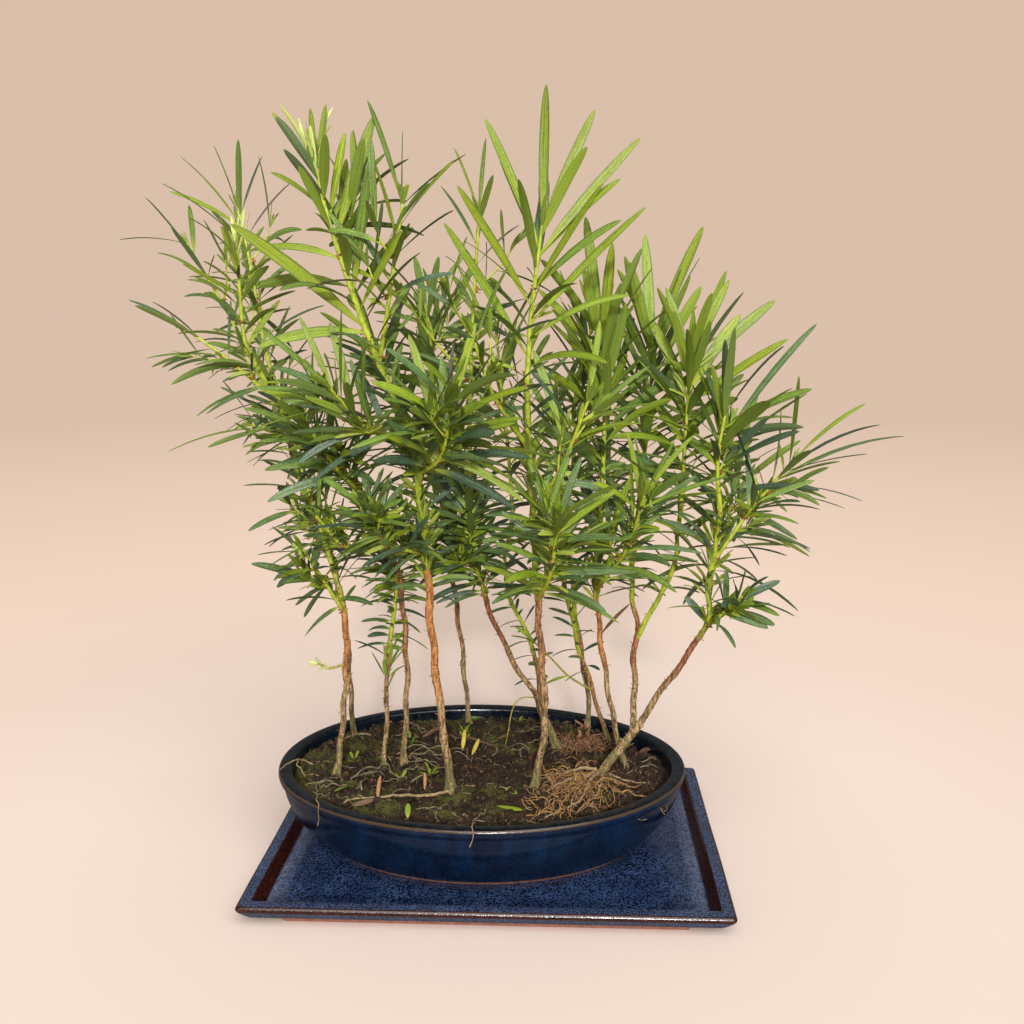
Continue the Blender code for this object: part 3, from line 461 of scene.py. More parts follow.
MOTTLE = dict(Place="Vector", Scale="Float", Contrast="Float", One="Color", Other="Color")
SPECKS = dict(Place="Vector", Scale="Float", Size="Float", Share="Float")
BROKEN_EDGE = dict(Place="Vector", Edge="Float", Scale="Float", Fray="Float")
GROUPS = {
    "mottle": group("mottle", MOTTLE, "Color", mottle),
    "specks": group("specks", SPECKS, "Float", specks),
    "broken_edge": group("broken_edge", BROKEN_EDGE, "Float", broken_edge),
}


class Finish(Ink):
    """A Principled material: fixed values stand on its sockets, and done() links what varies."""

    def __init__(self, name, **fixed):
        self.made = bpy.data.materials.new(name)
        self.made.use_nodes = True
        super().__init__(self.made.node_tree)
        self.shader = self.tree.nodes["Principled BSDF"]
        self.fill(self.shader, {socket.replace("_", " "): value for socket, value in fixed.items()})
        self.here = self.add("TexCoord").outputs["Object"]

    def grain(self, scale, detail=3.0, rough=0.55):
        """Noise at a scale, in the piece's own space."""
        return self.noise(self.here, scale, detail, rough)

    def streaks(self, rise, scale, detail=4.0, rough=0.55):
        """Noise drawn out or pressed flat along the height."""
        place = self.add("Mapping", {"Vector": self.here, "Scale": (1.0, 1.0, rise)}).outputs[0]
        return self.noise(place, scale, detail, rough)

    def shared(self, name, scale, **inputs):
        """One of the shared groups with its own values."""
        node = self.tree.nodes.new("ShaderNodeGroup")
        node.node_tree = GROUPS[name]
        return self.fill(node, dict(Place=self.here, Scale=scale, **inputs)).outputs[0]

    def blotches(self, scale, contrast, one, other):
        """Two colours in soft blotches."""
        return self.shared("mottle", scale, Contrast=contrast, One=one, Other=other)

    def frayed(self, mark, scale, fray):
        """One of the surface's marks with its border frayed."""
        return self.shared("broken_edge", scale, Edge=self.mark(mark), Fray=fray)

    def done(self, skin, roughness, relief=None, strength=0.0, distance=0.0):
        """The material, with its colour, its roughness and its relief linked."""
        links = {"Base Color": skin, "Roughness": roughness}
        if relief is not None:
            bump = {"Height": relief, "Strength": strength, "Distance": distance}
            links["Normal"] = self.add("Bump", bump).outputs[0]
        self.fill(self.shader, links)
        return self.made


def pot_glaze():
    """Deep navy with lighter streaks that run down, blue flecks, brown where it breaks, bare clay foot,
    near-black slate on the rim's top and near-black painted shade down the inner wall.
    """
    ink = Finish("pot_glaze", IOR=1.44, Coat_Weight=0.15, Coat_Roughness=0.06)
    runs = ink.streaks(0.12, 70.0)
    base = ink.tones(runs, 0.42, 0.68, (0.001, 0.004, 0.014), (0.001, 0.015, 0.050))
    base = ink.mix(ink.span(ink.grain(16.0, 2.0), 0.35, 0.7, 0.0, 0.55), base, (0.002, 0.006, 0.018))
    flecks = ink.shared("specks", 1400.0, Size=0.34, Share=0.30)
    base = ink.over(base, flecks, 0.35, (0.012, 0.060, 0.16))
    # Near-black slate: the rim's top has it as its glaze, the inner wall has it as painted shade.
    slate_and_painted_shade = ink.tones(ink.grain(240.0), 0.4, 0.65, (0.002, 0.003, 0.005), (0.006, 0.010, 0.016))
    base = ink.mix(ink.mark("slate_and_painted_shade"), base, slate_and_painted_shade)
    base = ink.over(base, ink.frayed("thin", 160.0, 0.9), 0.8, (0.060, 0.034, 0.015))
    bare = ink.frayed("bare", 200.0, 0.35)
    clay = ink.blotches(300.0, 1.0, (0.22, 0.095, 0.060), (0.34, 0.17, 0.11))
    roughness = ink.math("MULTIPLY_ADD", bare, 0.6, ink.span(runs, 0.3, 0.7, 0.15, 0.27))
    peel = ink.plus(ink.grain(260.0, 2.0), ink.times(flecks, -0.3))
    return ink.done(ink.mix(bare, base, clay), roughness, peel, 0.35, 0.0006)


def tray_glaze():
    """Blue net of fine dark cells, greyer where it pooled, red-brown on edges and walls, clay foot."""
    ink = Finish("tray_glaze", IOR=1.52, Coat_Weight=0.3, Coat_Roughness=0.08)
    cells, blot = ink.grain(900.0, 2.0, 0.4), ink.grain(45.0)
    blue = ink.tones(blot, 0.35, 0.65, (0.018, 0.036, 0.098), (0.036, 0.066, 0.160))
    base = ink.tones(cells, 0.45, 0.53, (0.003, 0.006, 0.016), blue)
    pool = ink.times(ink.mark("pool"), ink.span(ink.grain(110.0), 0.3, 0.6, 0.45, 0.9))
    base = ink.mix(pool, base, ink.tones(cells, 0.40, 0.60, (0.050, 0.060, 0.110), (0.125, 0.145, 0.225)))
    rust = ink.blotches(500.0, 0.9, (0.005, 0.002, 0.002), (0.055, 0.012, 0.005))
    base = ink.mix(ink.frayed("thin", 420.0, 0.7), base, rust)
    bare = ink.frayed("bare", 300.0, 0.25)
    clay = ink.blotches(260.0, 1.0, (0.20, 0.070, 0.042), (0.30, 0.120, 0.072))
    roughness = ink.math("MULTIPLY_ADD", bare, 0.6, ink.span(cells, 0.35, 0.65, 0.17, 0.28))
    return ink.done(ink.mix(bare, base, clay), roughness, ink.plus(cells, ink.times(blot, 2.0)), 0.3, 0.0005)


def soil_finish():
    """Near-black crumbly earth, browner in places, with a green bloom where moss takes hold."""
    ink = Finish("soil", Specular_IOR_Level=0.25)
    fine = ink.grain(900.0, 5.0, 0.7)
    earth = ink.blotches(110.0, 1.2, (0.006, 0.003, 0.0015), (0.042, 0.021, 0.009))
    earth = ink.mix(ink.span(fine, 0.54, 0.70), earth, (0.110, 0.068, 0.034))
    moss = ink.mix(fine, (0.022, 0.021, 0.004), (0.105, 0.098, 0.020))
    skin = ink.over(earth, ink.frayed("moss", 420.0, 1.4), 0.85, moss)
    return ink.done(skin, ink.span(fine, 0.3, 0.7, 0.78, 1.0), fine, 0.9, 0.0012)


def bark_finish(name, dark, light):
    """Bark by its mark of age: green and sappy when young, then flakes of two browns, and a cracked
    grey tan with patches of moss when old, with leaf scars and cracks darker than the rest."""
    ink = Finish(name, Specular_IOR_Level=0.3)
    age = ink.plus(ink.mark("age"), ink.times(ink.less(ink.grain(90.0), 0.5), 0.5))
    streaks, cracks = ink.streaks(0.2, 750.0, rough=0.7), ink.streaks(2.6, 330.0, rough=0.65)
    young = ink.tones(streaks, 0.35, 0.65, (0.20, 0.27, 0.012), (0.44, 0.50, 0.040))
    flake = ink.tones(streaks, 0.42, 0.60, dark, light)
    flake = ink.mix(ink.span(cracks, 0.56, 0.68, 0.0, 0.85), flake, (0.050, 0.022, 0.012))
    old = ink.tones(streaks, 0.38, 0.62, (0.095, 0.052, 0.020), (0.44, 0.30, 0.145))
    old = ink.mix(ink.span(cracks, 0.54, 0.66, 0.0, 0.85), old, (0.045, 0.024, 0.011))
    skin = ink.tones(age, 0.55, 0.95, ink.tones(age, 0.05, 0.45, young, flake), old)
    skin = ink.over(skin, ink.frayed("moss", 190.0, 1.9), 0.6, (0.105, 0.115, 0.035))
    skin = ink.over(skin, ink.mark("scar"), 0.7, (0.075, 0.032, 0.016))
    relief = ink.less(streaks, ink.times(cracks, 1.4))
    return ink.done(skin, ink.span(age, 0.0, 0.5, 0.5, 0.88), relief, 0.85, 0.0011)


def shoot_finish():
    """Green shoots, yellow-green on their ridges and browner where they are older."""
    ink = Finish("shoot")
    streaks = ink.streaks(0.3, 800.0, 3.0)
    green = ink.tones(streaks, 0.3, 0.7, (0.25, 0.32, 0.014), (0.47, 0.53, 0.045))
    aged = ink.tones(streaks, 0.4, 0.65, (0.14, 0.115, 0.020), (0.33, 0.23, 0.065))
    skin = ink.tones(ink.mark("age"), 0.3, 0.9, green, aged)
    return ink.done(skin, ink.span(streaks, 0.3, 0.7, 0.38, 0.52), streaks, 0.3, 0.0004)


def dimmed(tone, share, lift=0.0):
    """A colour with each part of it scaled and lifted."""
    return tuple(part * share + lift for part in tone)


def leaf_finish(name, face, rib, back, gloss, base):
    """A leaf: streaks along its face, a paler rib, a yellow-green base, pale flecks that are partly dust and
    partly a painted speckled sheen, dark edges, a duller back, and fine ripples across that break up its
    shine."""
    ink = Finish("leaf_" + name, IOR=1.46)
    across, along, _ = ink.add("SeparateXYZ", ink.add("UVMap", uv_map="surface").outputs[0]).outputs
    from_rib = ink.math("ABSOLUTE", ink.less(across, 0.5))
    on_rib, on_edge = ink.span(from_rib, 0.02, 0.09, 1.0, 0.0), ink.span(from_rib, 0.30, 0.48)
    own = ink.add("VectorMath", ink.here, (35.0, 35.0, 35.0), operation="MULTIPLY").outputs[0]
    lane = ink.add("CombineXYZ", ink.times(across, 9.0), ink.times(along, 2.2)).outputs[0]
    streaks = ink.noise(ink.add("VectorMath", own, lane).outputs[0], 1.0, 4.0, 0.65)
    skin = ink.mix(ink.span(streaks, 0.38, 0.66, 0.0, 0.75), dimmed(face, 0.82), rib)
    skin = ink.mix(ink.span(ink.grain(380.0), 0.50, 0.66, 0.0, 0.35), skin, dimmed(face, 0.6))
    skin = ink.over(skin, on_rib, 0.40, rib)
    skin = ink.mix(ink.span(along, 0.06, 0.34, base, 0.0), skin, (0.33, 0.40, 0.022))
    # Pale flecks: partly dust, partly a painted speckled sheen.
    skin = ink.over(skin, ink.shared("specks", 900.0, Size=0.36, Share=0.26), 0.20, (0.48, 0.52, 0.36))
    skin = ink.over(skin, on_edge, 0.80, dimmed(face, 0.34, 0.012))
    under = ink.span(ink.mark("under"), 0.47, 0.53)
    skin = ink.over(skin, under, 0.7, back)
    tone = ink.mark("tone")
    skin = ink.mix(1.0, skin, ink.add("CombineColor", tone, tone, tone).outputs[0], "MULTIPLY")
    ripples = ink.grain(1300.0, 2.0)
    shine = ink.math("MULTIPLY_ADD", under, 0.15, ink.span(ripples, 0.3, 0.7, gloss - 0.04, gloss + 0.16))
    relief = ink.plus(ink.math("MULTIPLY_ADD", on_rib, 1.4, streaks), ink.times(ripples, 0.8))
    return ink.done(skin, shine, relief, 0.55, 0.0004)


def plain_finish(name, one, other, scale, roughness):
    """Small things: two colours in blotches on a rough surface."""
    ink = Finish(name, Specular_IOR_Level=0.3)
    skin, grain = ink.blotches(scale, 0.8, one, other), ink.grain(scale * 2.0)
    shine = ink.span(grain, 0.3, 0.7, roughness - 0.08, roughness + 0.08)
    return ink.done(skin, shine, grain, 0.6, 0.0004)


# Face, rib and back colours and the gloss of each leaf tint, how far its base yellows, and its slot.
LEAF_TINTS = {
    "pale": ((0.62, 0.70, 0.20), (0.72, 0.78, 0.32), (0.58, 0.66, 0.18), 0.45, 0.0, "fresh"),
    "new": ((0.33, 0.41, 0.030), (0.46, 0.53, 0.09), (0.31, 0.38, 0.060), 0.42, 0.85, "fresh"),
    "bright": ((0.200, 0.278, 0.006), (0.31, 0.40, 0.020), (0.19, 0.275, 0.026), 0.40, 0.85, "fresh"),
    "fresh": ((0.170, 0.255, 0.008), (0.28, 0.38, 0.026), (0.155, 0.235, 0.032), 0.38, 0.85, "fresh"),
    "mid": ((0.116, 0.200, 0.022), (0.22, 0.335, 0.050), (0.128, 0.200, 0.042), 0.35, 0.85, "mid"),
    # deep and shade: partly the darker green of older leaves, partly painted shade for leaves low and at the
    # back of the crown
    "deep": ((0.072, 0.142, 0.038), (0.155, 0.240, 0.078), (0.098, 0.152, 0.058), 0.32, 0.85, "dark"),
    "shade": ((0.040, 0.090, 0.044), (0.105, 0.168, 0.088), (0.072, 0.112, 0.064), 0.30, 0.85, "dark"),
    # painted shade: a dull purplish brown for leaves seen edge-on in shadow, over their purplish backs
    "dusk": ((0.088, 0.078, 0.046), (0.14, 0.11, 0.065), (0.10, 0.066, 0.056), 0.50, 0.85, "dark"),
    "yellow": ((0.50, 0.41, 0.035), (0.60, 0.50, 0.09), (0.42, 0.34, 0.07), 0.45, 0.0, "fresh"),
    "amber": ((0.42, 0.185, 0.060), (0.52, 0.27, 0.10), (0.36, 0.16, 0.06), 0.55, 0.0, "dark"),
    "dry": ((0.15, 0.070, 0.030), (0.24, 0.13, 0.06), (0.13, 0.07, 0.04), 0.60, 0.0, "dark"),
}


# ---------------------------------------------------------------- tray and pot


def around_oblong(insets, heights, corner_steps=8, side_steps=40):
    """The tray's outline at each station: an oblong drawn in by its insets, with quarter-circle
    corners, counter-clockwise, each side in even steps and a slow wave of hand-made unevenness."""
    half = np.array([TRAY_LENGTH, TRAY_DEPTH]) / 2 - insets
    radius = np.maximum(TRAY_CORNER - insets.min(-1) / 2, 1.2 * MM)[:, None]
    signs = np.array([(1, 1), (-1, 1), (-1, -1), (1, -1)])
    share = (np.arange(1, side_steps) / side_steps)[:, None]
    columns = []
    for quarter in range(4):
        angle = np.pi / 2 * (quarter + np.arange(corner_steps + 1) / corner_steps)
        turn = np.stack([np.cos(angle), np.sin(angle)], -1)
        corner = (signs[quarter] * (half - radius))[:, None] + radius[:, None] * turn
        onward = (signs[(quarter + 1) % 4] * (half - radius))[:, None] + radius[:, None] * turn[-1]
        columns += [corner, corner[:, -1:] * (1 - share) + onward * share]
    flat = np.concatenate(columns, 1)
    along = np.arctan2(flat[..., 1], flat[..., 0])
    wave = 0.22 * MM * np.cos(3 * along + 1.0) + 0.12 * MM * np.cos(8 * along + 2.2)
    shift = wave * np.clip(heights / TRAY_HEIGHT, 0, 1)[:, None]
    flat = flat * (1 + shift / TRAY_LENGTH * 2)[..., None]
    return np.concatenate([flat, (heights[:, None] + shift * 0.6)[..., None]], -1)


def band(values, low, high, soft):
    """1 inside a range, falling to 0 over a soft border outside it."""
    return np.clip(np.minimum(values - low, high - values) / soft + 1, 0, 1)


def tray():
    """The tray: its profile, corners rounded, carried round the oblong from under the foot to the floor."""
    foot_x, foot_y = TRAY_FOOT_INSET
    inner, top = TRAY_RIM + TRAY_WALL_SLOPE, TRAY_HEIGHT
    profile = round_corners(np.array([
        (foot_x + 6 * MM, foot_y + 6 * MM, 0.6 * MM),
        (foot_x + 2.4 * MM, foot_y + 2.4 * MM, 0.0),
        (foot_x, foot_y, 0.0),
        (foot_x - 1 * MM, foot_y - 1 * MM, 3.2 * MM),
        (7 * MM, 5 * MM, 4.2 * MM),
        (1.2 * MM, 1.2 * MM, top - 4.2 * MM),
        (0.0, 0.0, top - 2.2 * MM),
        (0.9 * MM, 0.9 * MM, top - 0.4 * MM),
        (2.2 * MM, 2.2 * MM, top),
        (TRAY_RIM - 1 * MM, TRAY_RIM - 1 * MM, top),
        (TRAY_RIM, TRAY_RIM, top - 0.8 * MM),
        (inner, inner, TRAY_FLOOR),
        (inner + 9 * MM, inner + 9 * MM, TRAY_FLOOR),
        (inner + 40 * MM, inner + 40 * MM, TRAY_FLOOR),
    ]), 1.1 * MM)
    insets, heights = profile[:, :2], profile[:, 2]
    side = insets[:, 1]
    outside = np.arange(len(profile)) < np.argmax(heights) + 6
    edge = band(heights, top - 3.3 * MM, top - 0.35 * MM, 0.5 * MM)
    wall = band(side, TRAY_RIM - 1.3 * MM, inner - 0.7 * MM, 0.5 * MM)
    marks = {
        "bare": np.where(outside, band(heights, -1, 3.3 * MM, 0.4 * MM), 0),
        "thin": np.where(outside, edge, np.maximum(wall, 0.30 * band(side, 0, TRAY_RIM, 0.5 * MM))),
        "pool": np.where(outside, 0.25, np.maximum(band(side, 0, TRAY_RIM, 0.3 * MM) * 0.55,
                                                   band(side, inner, inner + 6 * MM, 3 * MM))),
    }
    rings = around_oblong(insets, heights)
    ends = rings[0, 0, 2], rings[-1, 0, 2]
    carried_round("tray_body", rings, (0, 0), ends, marks, tray_glaze(), "tray")


def around_oval(spread, heights, steps=288):
    """The pot's oval at each station: the foot's oval pushed outwards by the spread, with a slow
    wave of hand-made unevenness in its reach and in its height."""
    angle = turns_of(steps)
    wave = 0.25 * MM * np.cos(2 * angle + 0.7) + 0.16 * MM * np.cos(5 * angle)
    lift = 0.35 * MM * np.cos(2 * angle + 2.0) + 0.15 * MM * np.cos(3 * angle)
    share = np.clip(heights / POT_TOP, 0, 1)[:, None]
    reach = spread[:, None] + wave * share
    x = POT_PLACE[0] + (POT_FOOT_RADII[0] + reach) * np.cos(angle)
    y = POT_PLACE[1] + (POT_FOOT_RADII[1] + reach) * np.sin(angle)
    return np.stack([x, y, heights[:, None] + lift * share**2], -1)


def wall_height(share):
    """Height at a share of the way up the pot's wall."""
    return POT_WALL_FOOT + (POT_WALL_HEAD - POT_WALL_FOOT) * share


def wall_spread(height):
    """How far the pot's outer wall stands out at a height: a bowl that rises steeper as it goes up."""
    share = (height - POT_WALL_FOOT) / (POT_WALL_HEAD - POT_WALL_FOOT)
    return (POT_SPREAD - 3 * MM) * np.sin(share * np.pi / 2) ** 0.85


def pot():
    """The pot: foot, bowl, rolled lip, inner wall and floor as one profile carried round the oval."""
    base, inside = TRAY_FLOOR + 0.1 * MM, POT_SPREAD - POT_LIP_WIDTH
    heights = wall_height(np.linspace(0.06, 1, 22))
    outer = np.stack([wall_spread(heights), heights], -1)
    inner = np.stack([wall_spread(heights) - POT_WALL, heights], -1)[-4:4:-2]
    foot = [(-9 * MM, base + 1.2 * MM), (-6 * MM, base + 0.9 * MM), (-5.4 * MM, base), (-3 * MM, base),
            (-2.4 * MM, base + 2.4 * MM), (0.4 * MM, base + 3.0 * MM)]
    lip = [(POT_SPREAD - 0.8 * MM, POT_WALL_HEAD + 1.2 * MM), (POT_SPREAD, POT_TOP - 3.5 * MM),
           (POT_SPREAD - 0.4 * MM, POT_TOP - 0.9 * MM), (POT_SPREAD - 2.4 * MM, POT_TOP + 0.1 * MM),
           (inside + 1.5 * MM, POT_TOP - 0.3 * MM), (inside, POT_TOP - 1.5 * MM),
           (inside - 0.5 * MM, POT_WALL_HEAD)]
    rim = round_corners(np.concatenate([outer[-1:], lip, inner, [(-8 * MM, POT_FLOOR)]]), 1.6 * MM)
    spread, tall = np.concatenate([foot, outer, rim[1:]]).T
    before_top = np.arange(len(tall)) <= np.argmax(tall)
    lip_edge = band(tall, POT_TOP - 1.9 * MM, POT_TOP - 0.9 * MM, 0.45 * MM)
    shoulder = 0.6 * band(tall, POT_WALL_HEAD + 0.3 * MM, POT_WALL_HEAD + 0.8 * MM, 0.5 * MM)
    marks = {
        "bare": np.where(before_top, band(tall, 0, base + 2.2 * MM, 0.5 * MM), 0),
        "thin": np.where(before_top, np.maximum(lip_edge, shoulder), 0),
        # 1 on the rim's top as its slate glaze; 0.9 down the inner wall as painted shade
        "slate_and_painted_shade": np.where(tall > POT_TOP - 1.2 * MM, 1.0, np.where(before_top, 0.0, 0.9)),
    }
    rings, ends = around_oval(spread, tall), (tall[0], tall[-1])
    carried_round("pot_body", rings, POT_PLACE, ends, marks, pot_glaze(), "pot")


# ---------------------------------------------------------------- soil and what lies on it

SOIL_RADII = POT_FOOT_RADII + POT_SPREAD - POT_LIP_WIDTH - 0.4 * MM
TANGLE_AT = (53, -18)  # the heap of bared roots at the foot of stem_12, in mm
TANGLE = np.array(TANGLE_AT) * MM
LUMPS = ((3.4, 30, 1), (4.2, 9, 2), (3.0, 4, 5), (1.2, 1.7, 6))  # height and grain in mm, and seed


def on_soil(share, angle):
    """Places on the soil, by a share of its radii and an angle."""
    x = POT_PLACE[0] + SOIL_RADII[0] * share * np.cos(angle)
    y = POT_PLACE[1] + SOIL_RADII[1] * share * np.sin(angle)
    return x, y


def edge_share(x, y):
    """How far out a place is on the soil: 0 in the middle, 1 at the pot's wall."""
    return np.hypot((x - POT_PLACE[0]) / SOIL_RADII[0], (y - POT_PLACE[1]) / SOIL_RADII[1])


def moss_cover(x, y):
    """Where moss grows, 0 to 1: two random fields, greener to the left and near the rim."""
    leaning = 0.14 - 1.3 * (x - POT_PLACE[0])
    field = 0.5 * rough(x, y, 24 * MM, 3) + 0.5 * rough(x, y, 8 * MM, 4)
    return np.clip((field + leaning - 0.60) * 3.5 + 0.5 * np.clip(edge_share(x, y) - 0.75, 0, 1), 0, 1)


def ground(x, y):
    """Height of the soil: four random fields, a dip at the wall, and heaps round the tangle and stems."""
    height = SOIL_TOP
    for tall, grain, seed in LUMPS:
        height = height + tall * MM * (rough(x, y, grain * MM, seed) - 0.5)
    height = height - 3.0 * MM * np.clip((edge_share(x, y) - 0.86) / 0.14, 0, 1) ** 2
    heap = np.exp(-(((x - TANGLE[0]) / (20 * MM)) ** 2 + ((y - TANGLE[1]) / (24 * MM)) ** 2))
    height = height + 2.0 * MM * heap
    for stem in STEMS.values():
        foot_x, foot_y = np.array(stem.way[0]) * MM
        height = height + 1.1 * MM * np.exp(-((x - foot_x) ** 2 + (y - foot_y) ** 2) / (8 * MM) ** 2)
    return height


def soil(rings=124, around=330):
    """The soil: ovals from its middle out to the wall at the ground's height, then down inside the pot."""
    angle = turns_of(around)
    x, y = on_soil(np.linspace(1, 0, rings, endpoint=False)[:, None], angle)
    low = wall_height(np.array([0.30, 0.55, 0.80]))
    deep = np.concatenate([[POT_FLOOR + 0.4 * MM], low])
    radii = POT_FOOT_RADII + np.append(-9.6 * MM, wall_spread(low) - POT_WALL - 0.6 * MM)[:, None]
    sunk = xyz(POT_PLACE[0] + radii[:, :1] * np.cos(angle), POT_PLACE[1] + radii[:, 1:] * np.sin(angle),
               deep[:, None])
    marks = {"moss": np.concatenate([np.zeros((len(deep), around)), moss_cover(x, y)])}
    ends = deep[0], ground(*POT_PLACE)
    grid = np.concatenate([sunk, xyz(x, y, ground(x, y))])
    carried_round("soil_bed", grid, POT_PLACE, ends, marks, soil_finish(), "soil")


def scattered(count, chance, reach=0.95):
    """Places all over the soil: an even spread inside the oval, out to a share of its radii."""
    return on_soil(reach * np.sqrt(chance.random(count)), chance.uniform(0, ROUND, count))


def crumbs(count, size, chance):
    """Lumps of earth: small balls of 3 rings by 5 sides, each point pushed in or out by its own chance,
    squashed, turned, and half sunk in the ground."""
    x, y = scattered(count, chance)
    small, large = size
    radius = small * MM + (large * MM - small * MM) * chance.random(count) ** 3
    tilt = np.pi * (np.arange(3) + 0.5) / 3
    angle = np.arange(5) * 2 * np.pi / 5 + chance.uniform(0, 6.3, (count, 1))
    around = np.stack([np.cos(angle), np.sin(angle)], -1)[:, None] * np.sin(tilt)[:, None, None]
    rise = np.broadcast_to(-np.cos(tilt)[None, :, None, None], (count, 3, 5, 1))
    lumps = np.concatenate([around, rise], -1) * chance.uniform(0.6, 1.2, (count, 3, 5, 1))
    lumps = lumps * (radius[:, None] * chance.uniform(0.6, 1.3, (count, 3)))[:, None, None]
    centre = np.stack([x, y, ground(x, y) + radius * 0.25], -1)
    ends = xyz(0, 0, radius * 0.7)
    return closed_rounds(centre - ends, centre[:, None, None] + lumps, centre + ends, np.zeros(2))


# ---------------------------------------------------------------- tubes along paths


class Limb:
    """A smooth line through some points, in even steps, with a thickness that tapers along it."""

    def __init__(self, way, thick, thin, spacing):
        fine = self.curve(np.asarray(way, float))
        lengths = np.concatenate([[0], np.cumsum(np.linalg.norm(np.diff(fine, axis=0), axis=1))])
        self.length = lengths[-1]
        self.shares = np.linspace(0, 1, max(3, round(self.length / spacing) + 1))
        self.points = read_off(self.shares * self.length, lengths, fine)
        self.directions = unit(np.gradient(self.points, axis=0))
        self.radii = (thick + (thin - thick) * self.shares) / 2

    @property
    def along(self):
        """How far along it each of its points is."""
        return self.shares * self.length

    @staticmethod
    def curve(way, steps=12):
        """Catmull-Rom spline: each stretch leaves and arrives along its neighbours' chord."""
        if len(way) == 2:
            return np.linspace(way[0], way[1], steps)
        ends = np.concatenate([[2 * way[0] - way[1]], way, [2 * way[-1] - way[-2]]])
        a, b, c, d = (ends[k:len(ends) - 3 + k, None] for k in range(4))
        t = (np.arange(steps) / steps)[None, :, None]
        curve = 2 * b + (c - a) * t + (2 * a - 5 * b + 4 * c - d) * t**2 + (3 * b - a - 3 * c + d) * t**3
        return np.concatenate([0.5 * curve.reshape(-1, 3), way[-1:]])

    def at(self, shares):
        """Places, directions and radii at shares of the length."""
        ahead = unit(read_off(shares, self.shares, self.directions))
        return read_off(shares, self.shares, self.points), ahead, np.interp(shares, self.shares, self.radii)

    def share_at(self, height):
        """The share of its length at which it reaches a height."""
        return np.interp(height, self.points[:, 2], self.shares)

    def sway(self, amount, wave, chance):
        """Bend the line from side to side by slow waves that die out at both ends."""
        fade = np.sin(np.pi * self.shares) ** 0.5
        for axis in (0, 1):
            phase = chance.uniform(0, ROUND)
            pitch = wave * chance.uniform(0.7, 1.4)
            self.points[:, axis] += amount * np.sin(ROUND * self.along / pitch + phase) * fade
        self.directions = unit(np.gradient(self.points, axis=0))


def thread(points, thick, thin, spacing=1.6):
    """A thin limb, all in millimetres."""
    return Limb(np.array(points, float) * MM, thick * MM, thin * MM, spacing * MM)


def across(directions):
    """Two unit vectors at right angles to each direction, made with the axis least along their mean."""
    helper = np.eye(3)[int(np.argmin(np.abs(directions.reshape(-1, 3).mean(0))))]
    first = unit(np.cross(directions, helper))
    return first, np.cross(directions, first)


def tube(limb, sides, swell, level=0.0, overshoot=0.0, **marks):
    """Rings carried along a limb.  Swell is the share added to each point's radius, level turns the
    foot's rings flat, and overshoot carries the foot on by so much."""
    direction, count = limb.directions, len(limb.shares)
    if level:
        rise = np.exp(-(limb.points[:, 2] - limb.points[0, 2]) / level)[:, None]
        direction = unit(direction * (1 - rise) + UP * rise)
    angle = turns_of(sides)
    radius = np.broadcast_to(limb.radii[:, None] * (1 + swell), (count, sides))
    rings = limb.points[:, None] + circle(*across(direction), angle) * radius[..., None]
    start = limb.points[0] - direction[0] * (overshoot + limb.radii[0] * 0.4)
    end = limb.points[-1] + direction[-1] * limb.radii[-1] * 0.8
    uv = np.stack(np.meshgrid(angle / ROUND, limb.along * 20), -1)
    marks = {name: np.broadcast_to(values, (count, sides))[None] for name, values in marks.items()}
    return closed_rounds(start[None], rings[None], end[None], uv[None], **marks)


def start_on(parent, at):
    """Where a limb starts: on its parent's middle line, at its tip or at a share of its length."""
    return parent.at(1.0 if at is TIP else at)[0]


LIMB_SPACING = 1.1 * MM
SLIMMER = 0.06  # how much of its thickness a limb gives up to its relief
LOWER_SLIMMER = 0.24  # and how much more toward its foot
SCARS_EVERY, KNOTS_EVERY = 5.5 * MM, 42 * MM
BARK_TINTS = {
    "bark_orange": ((0.26, 0.090, 0.024), (0.50, 0.24, 0.075)),
    "bark_tan": ((0.17, 0.070, 0.026), (0.42, 0.22, 0.095)),
    "bark_red": ((0.14, 0.045, 0.019), (0.35, 0.14, 0.060)),
}


def bark_relief(limb, angle, chance):
    """Relief of the bark: fissures as waves round the limb, cushions left by old leaves in a golden
    spiral, each a bell of height round its own place, and a swelling where each year's growth ended."""
    along = limb.along[:, None]
    waves = 0.050 * ripple(angle, along, (2, 4), (14 * MM, 60 * MM), 5, chance)
    waves = waves + 0.045 * ripple(angle, along, (5, 8), (5 * MM, 22 * MM), 7, chance)
    number = np.arange(int(limb.length / SCARS_EVERY))
    middle = (number + 0.5) * SCARS_EVERY + chance.uniform(-1, 1, len(number)) * MM
    turn = number * GOLDEN_ANGLE + chance.uniform(-0.3, 0.3, len(number))
    gap = np.abs((angle[..., None] - turn + np.pi) % ROUND - np.pi)
    bells = np.exp(-(gap / 0.5) ** 2 - ((along[..., None] - middle) / (0.9 * MM)) ** 2).sum(-1)
    ledge = np.exp(-(gap / 0.55) ** 2 - ((along[..., None] - middle - 1.1 * MM) / (0.35 * MM)) ** 2).sum(-1)
    knots = np.arange(1, 1 + int(limb.length / KNOTS_EVERY)) * KNOTS_EVERY + chance.uniform(-6, 6) * MM
    knot = np.exp(-((along - knots) / (2.2 * MM)) ** 2).sum(-1, keepdims=True)
    rings = 0.035 * ripple(angle, along, (0, 1), (3.3 * MM, 7 * MM), 6, chance)
    return waves + rings + 0.14 * bells + 0.13 * knot - SLIMMER, np.clip(ledge, 0, 1)


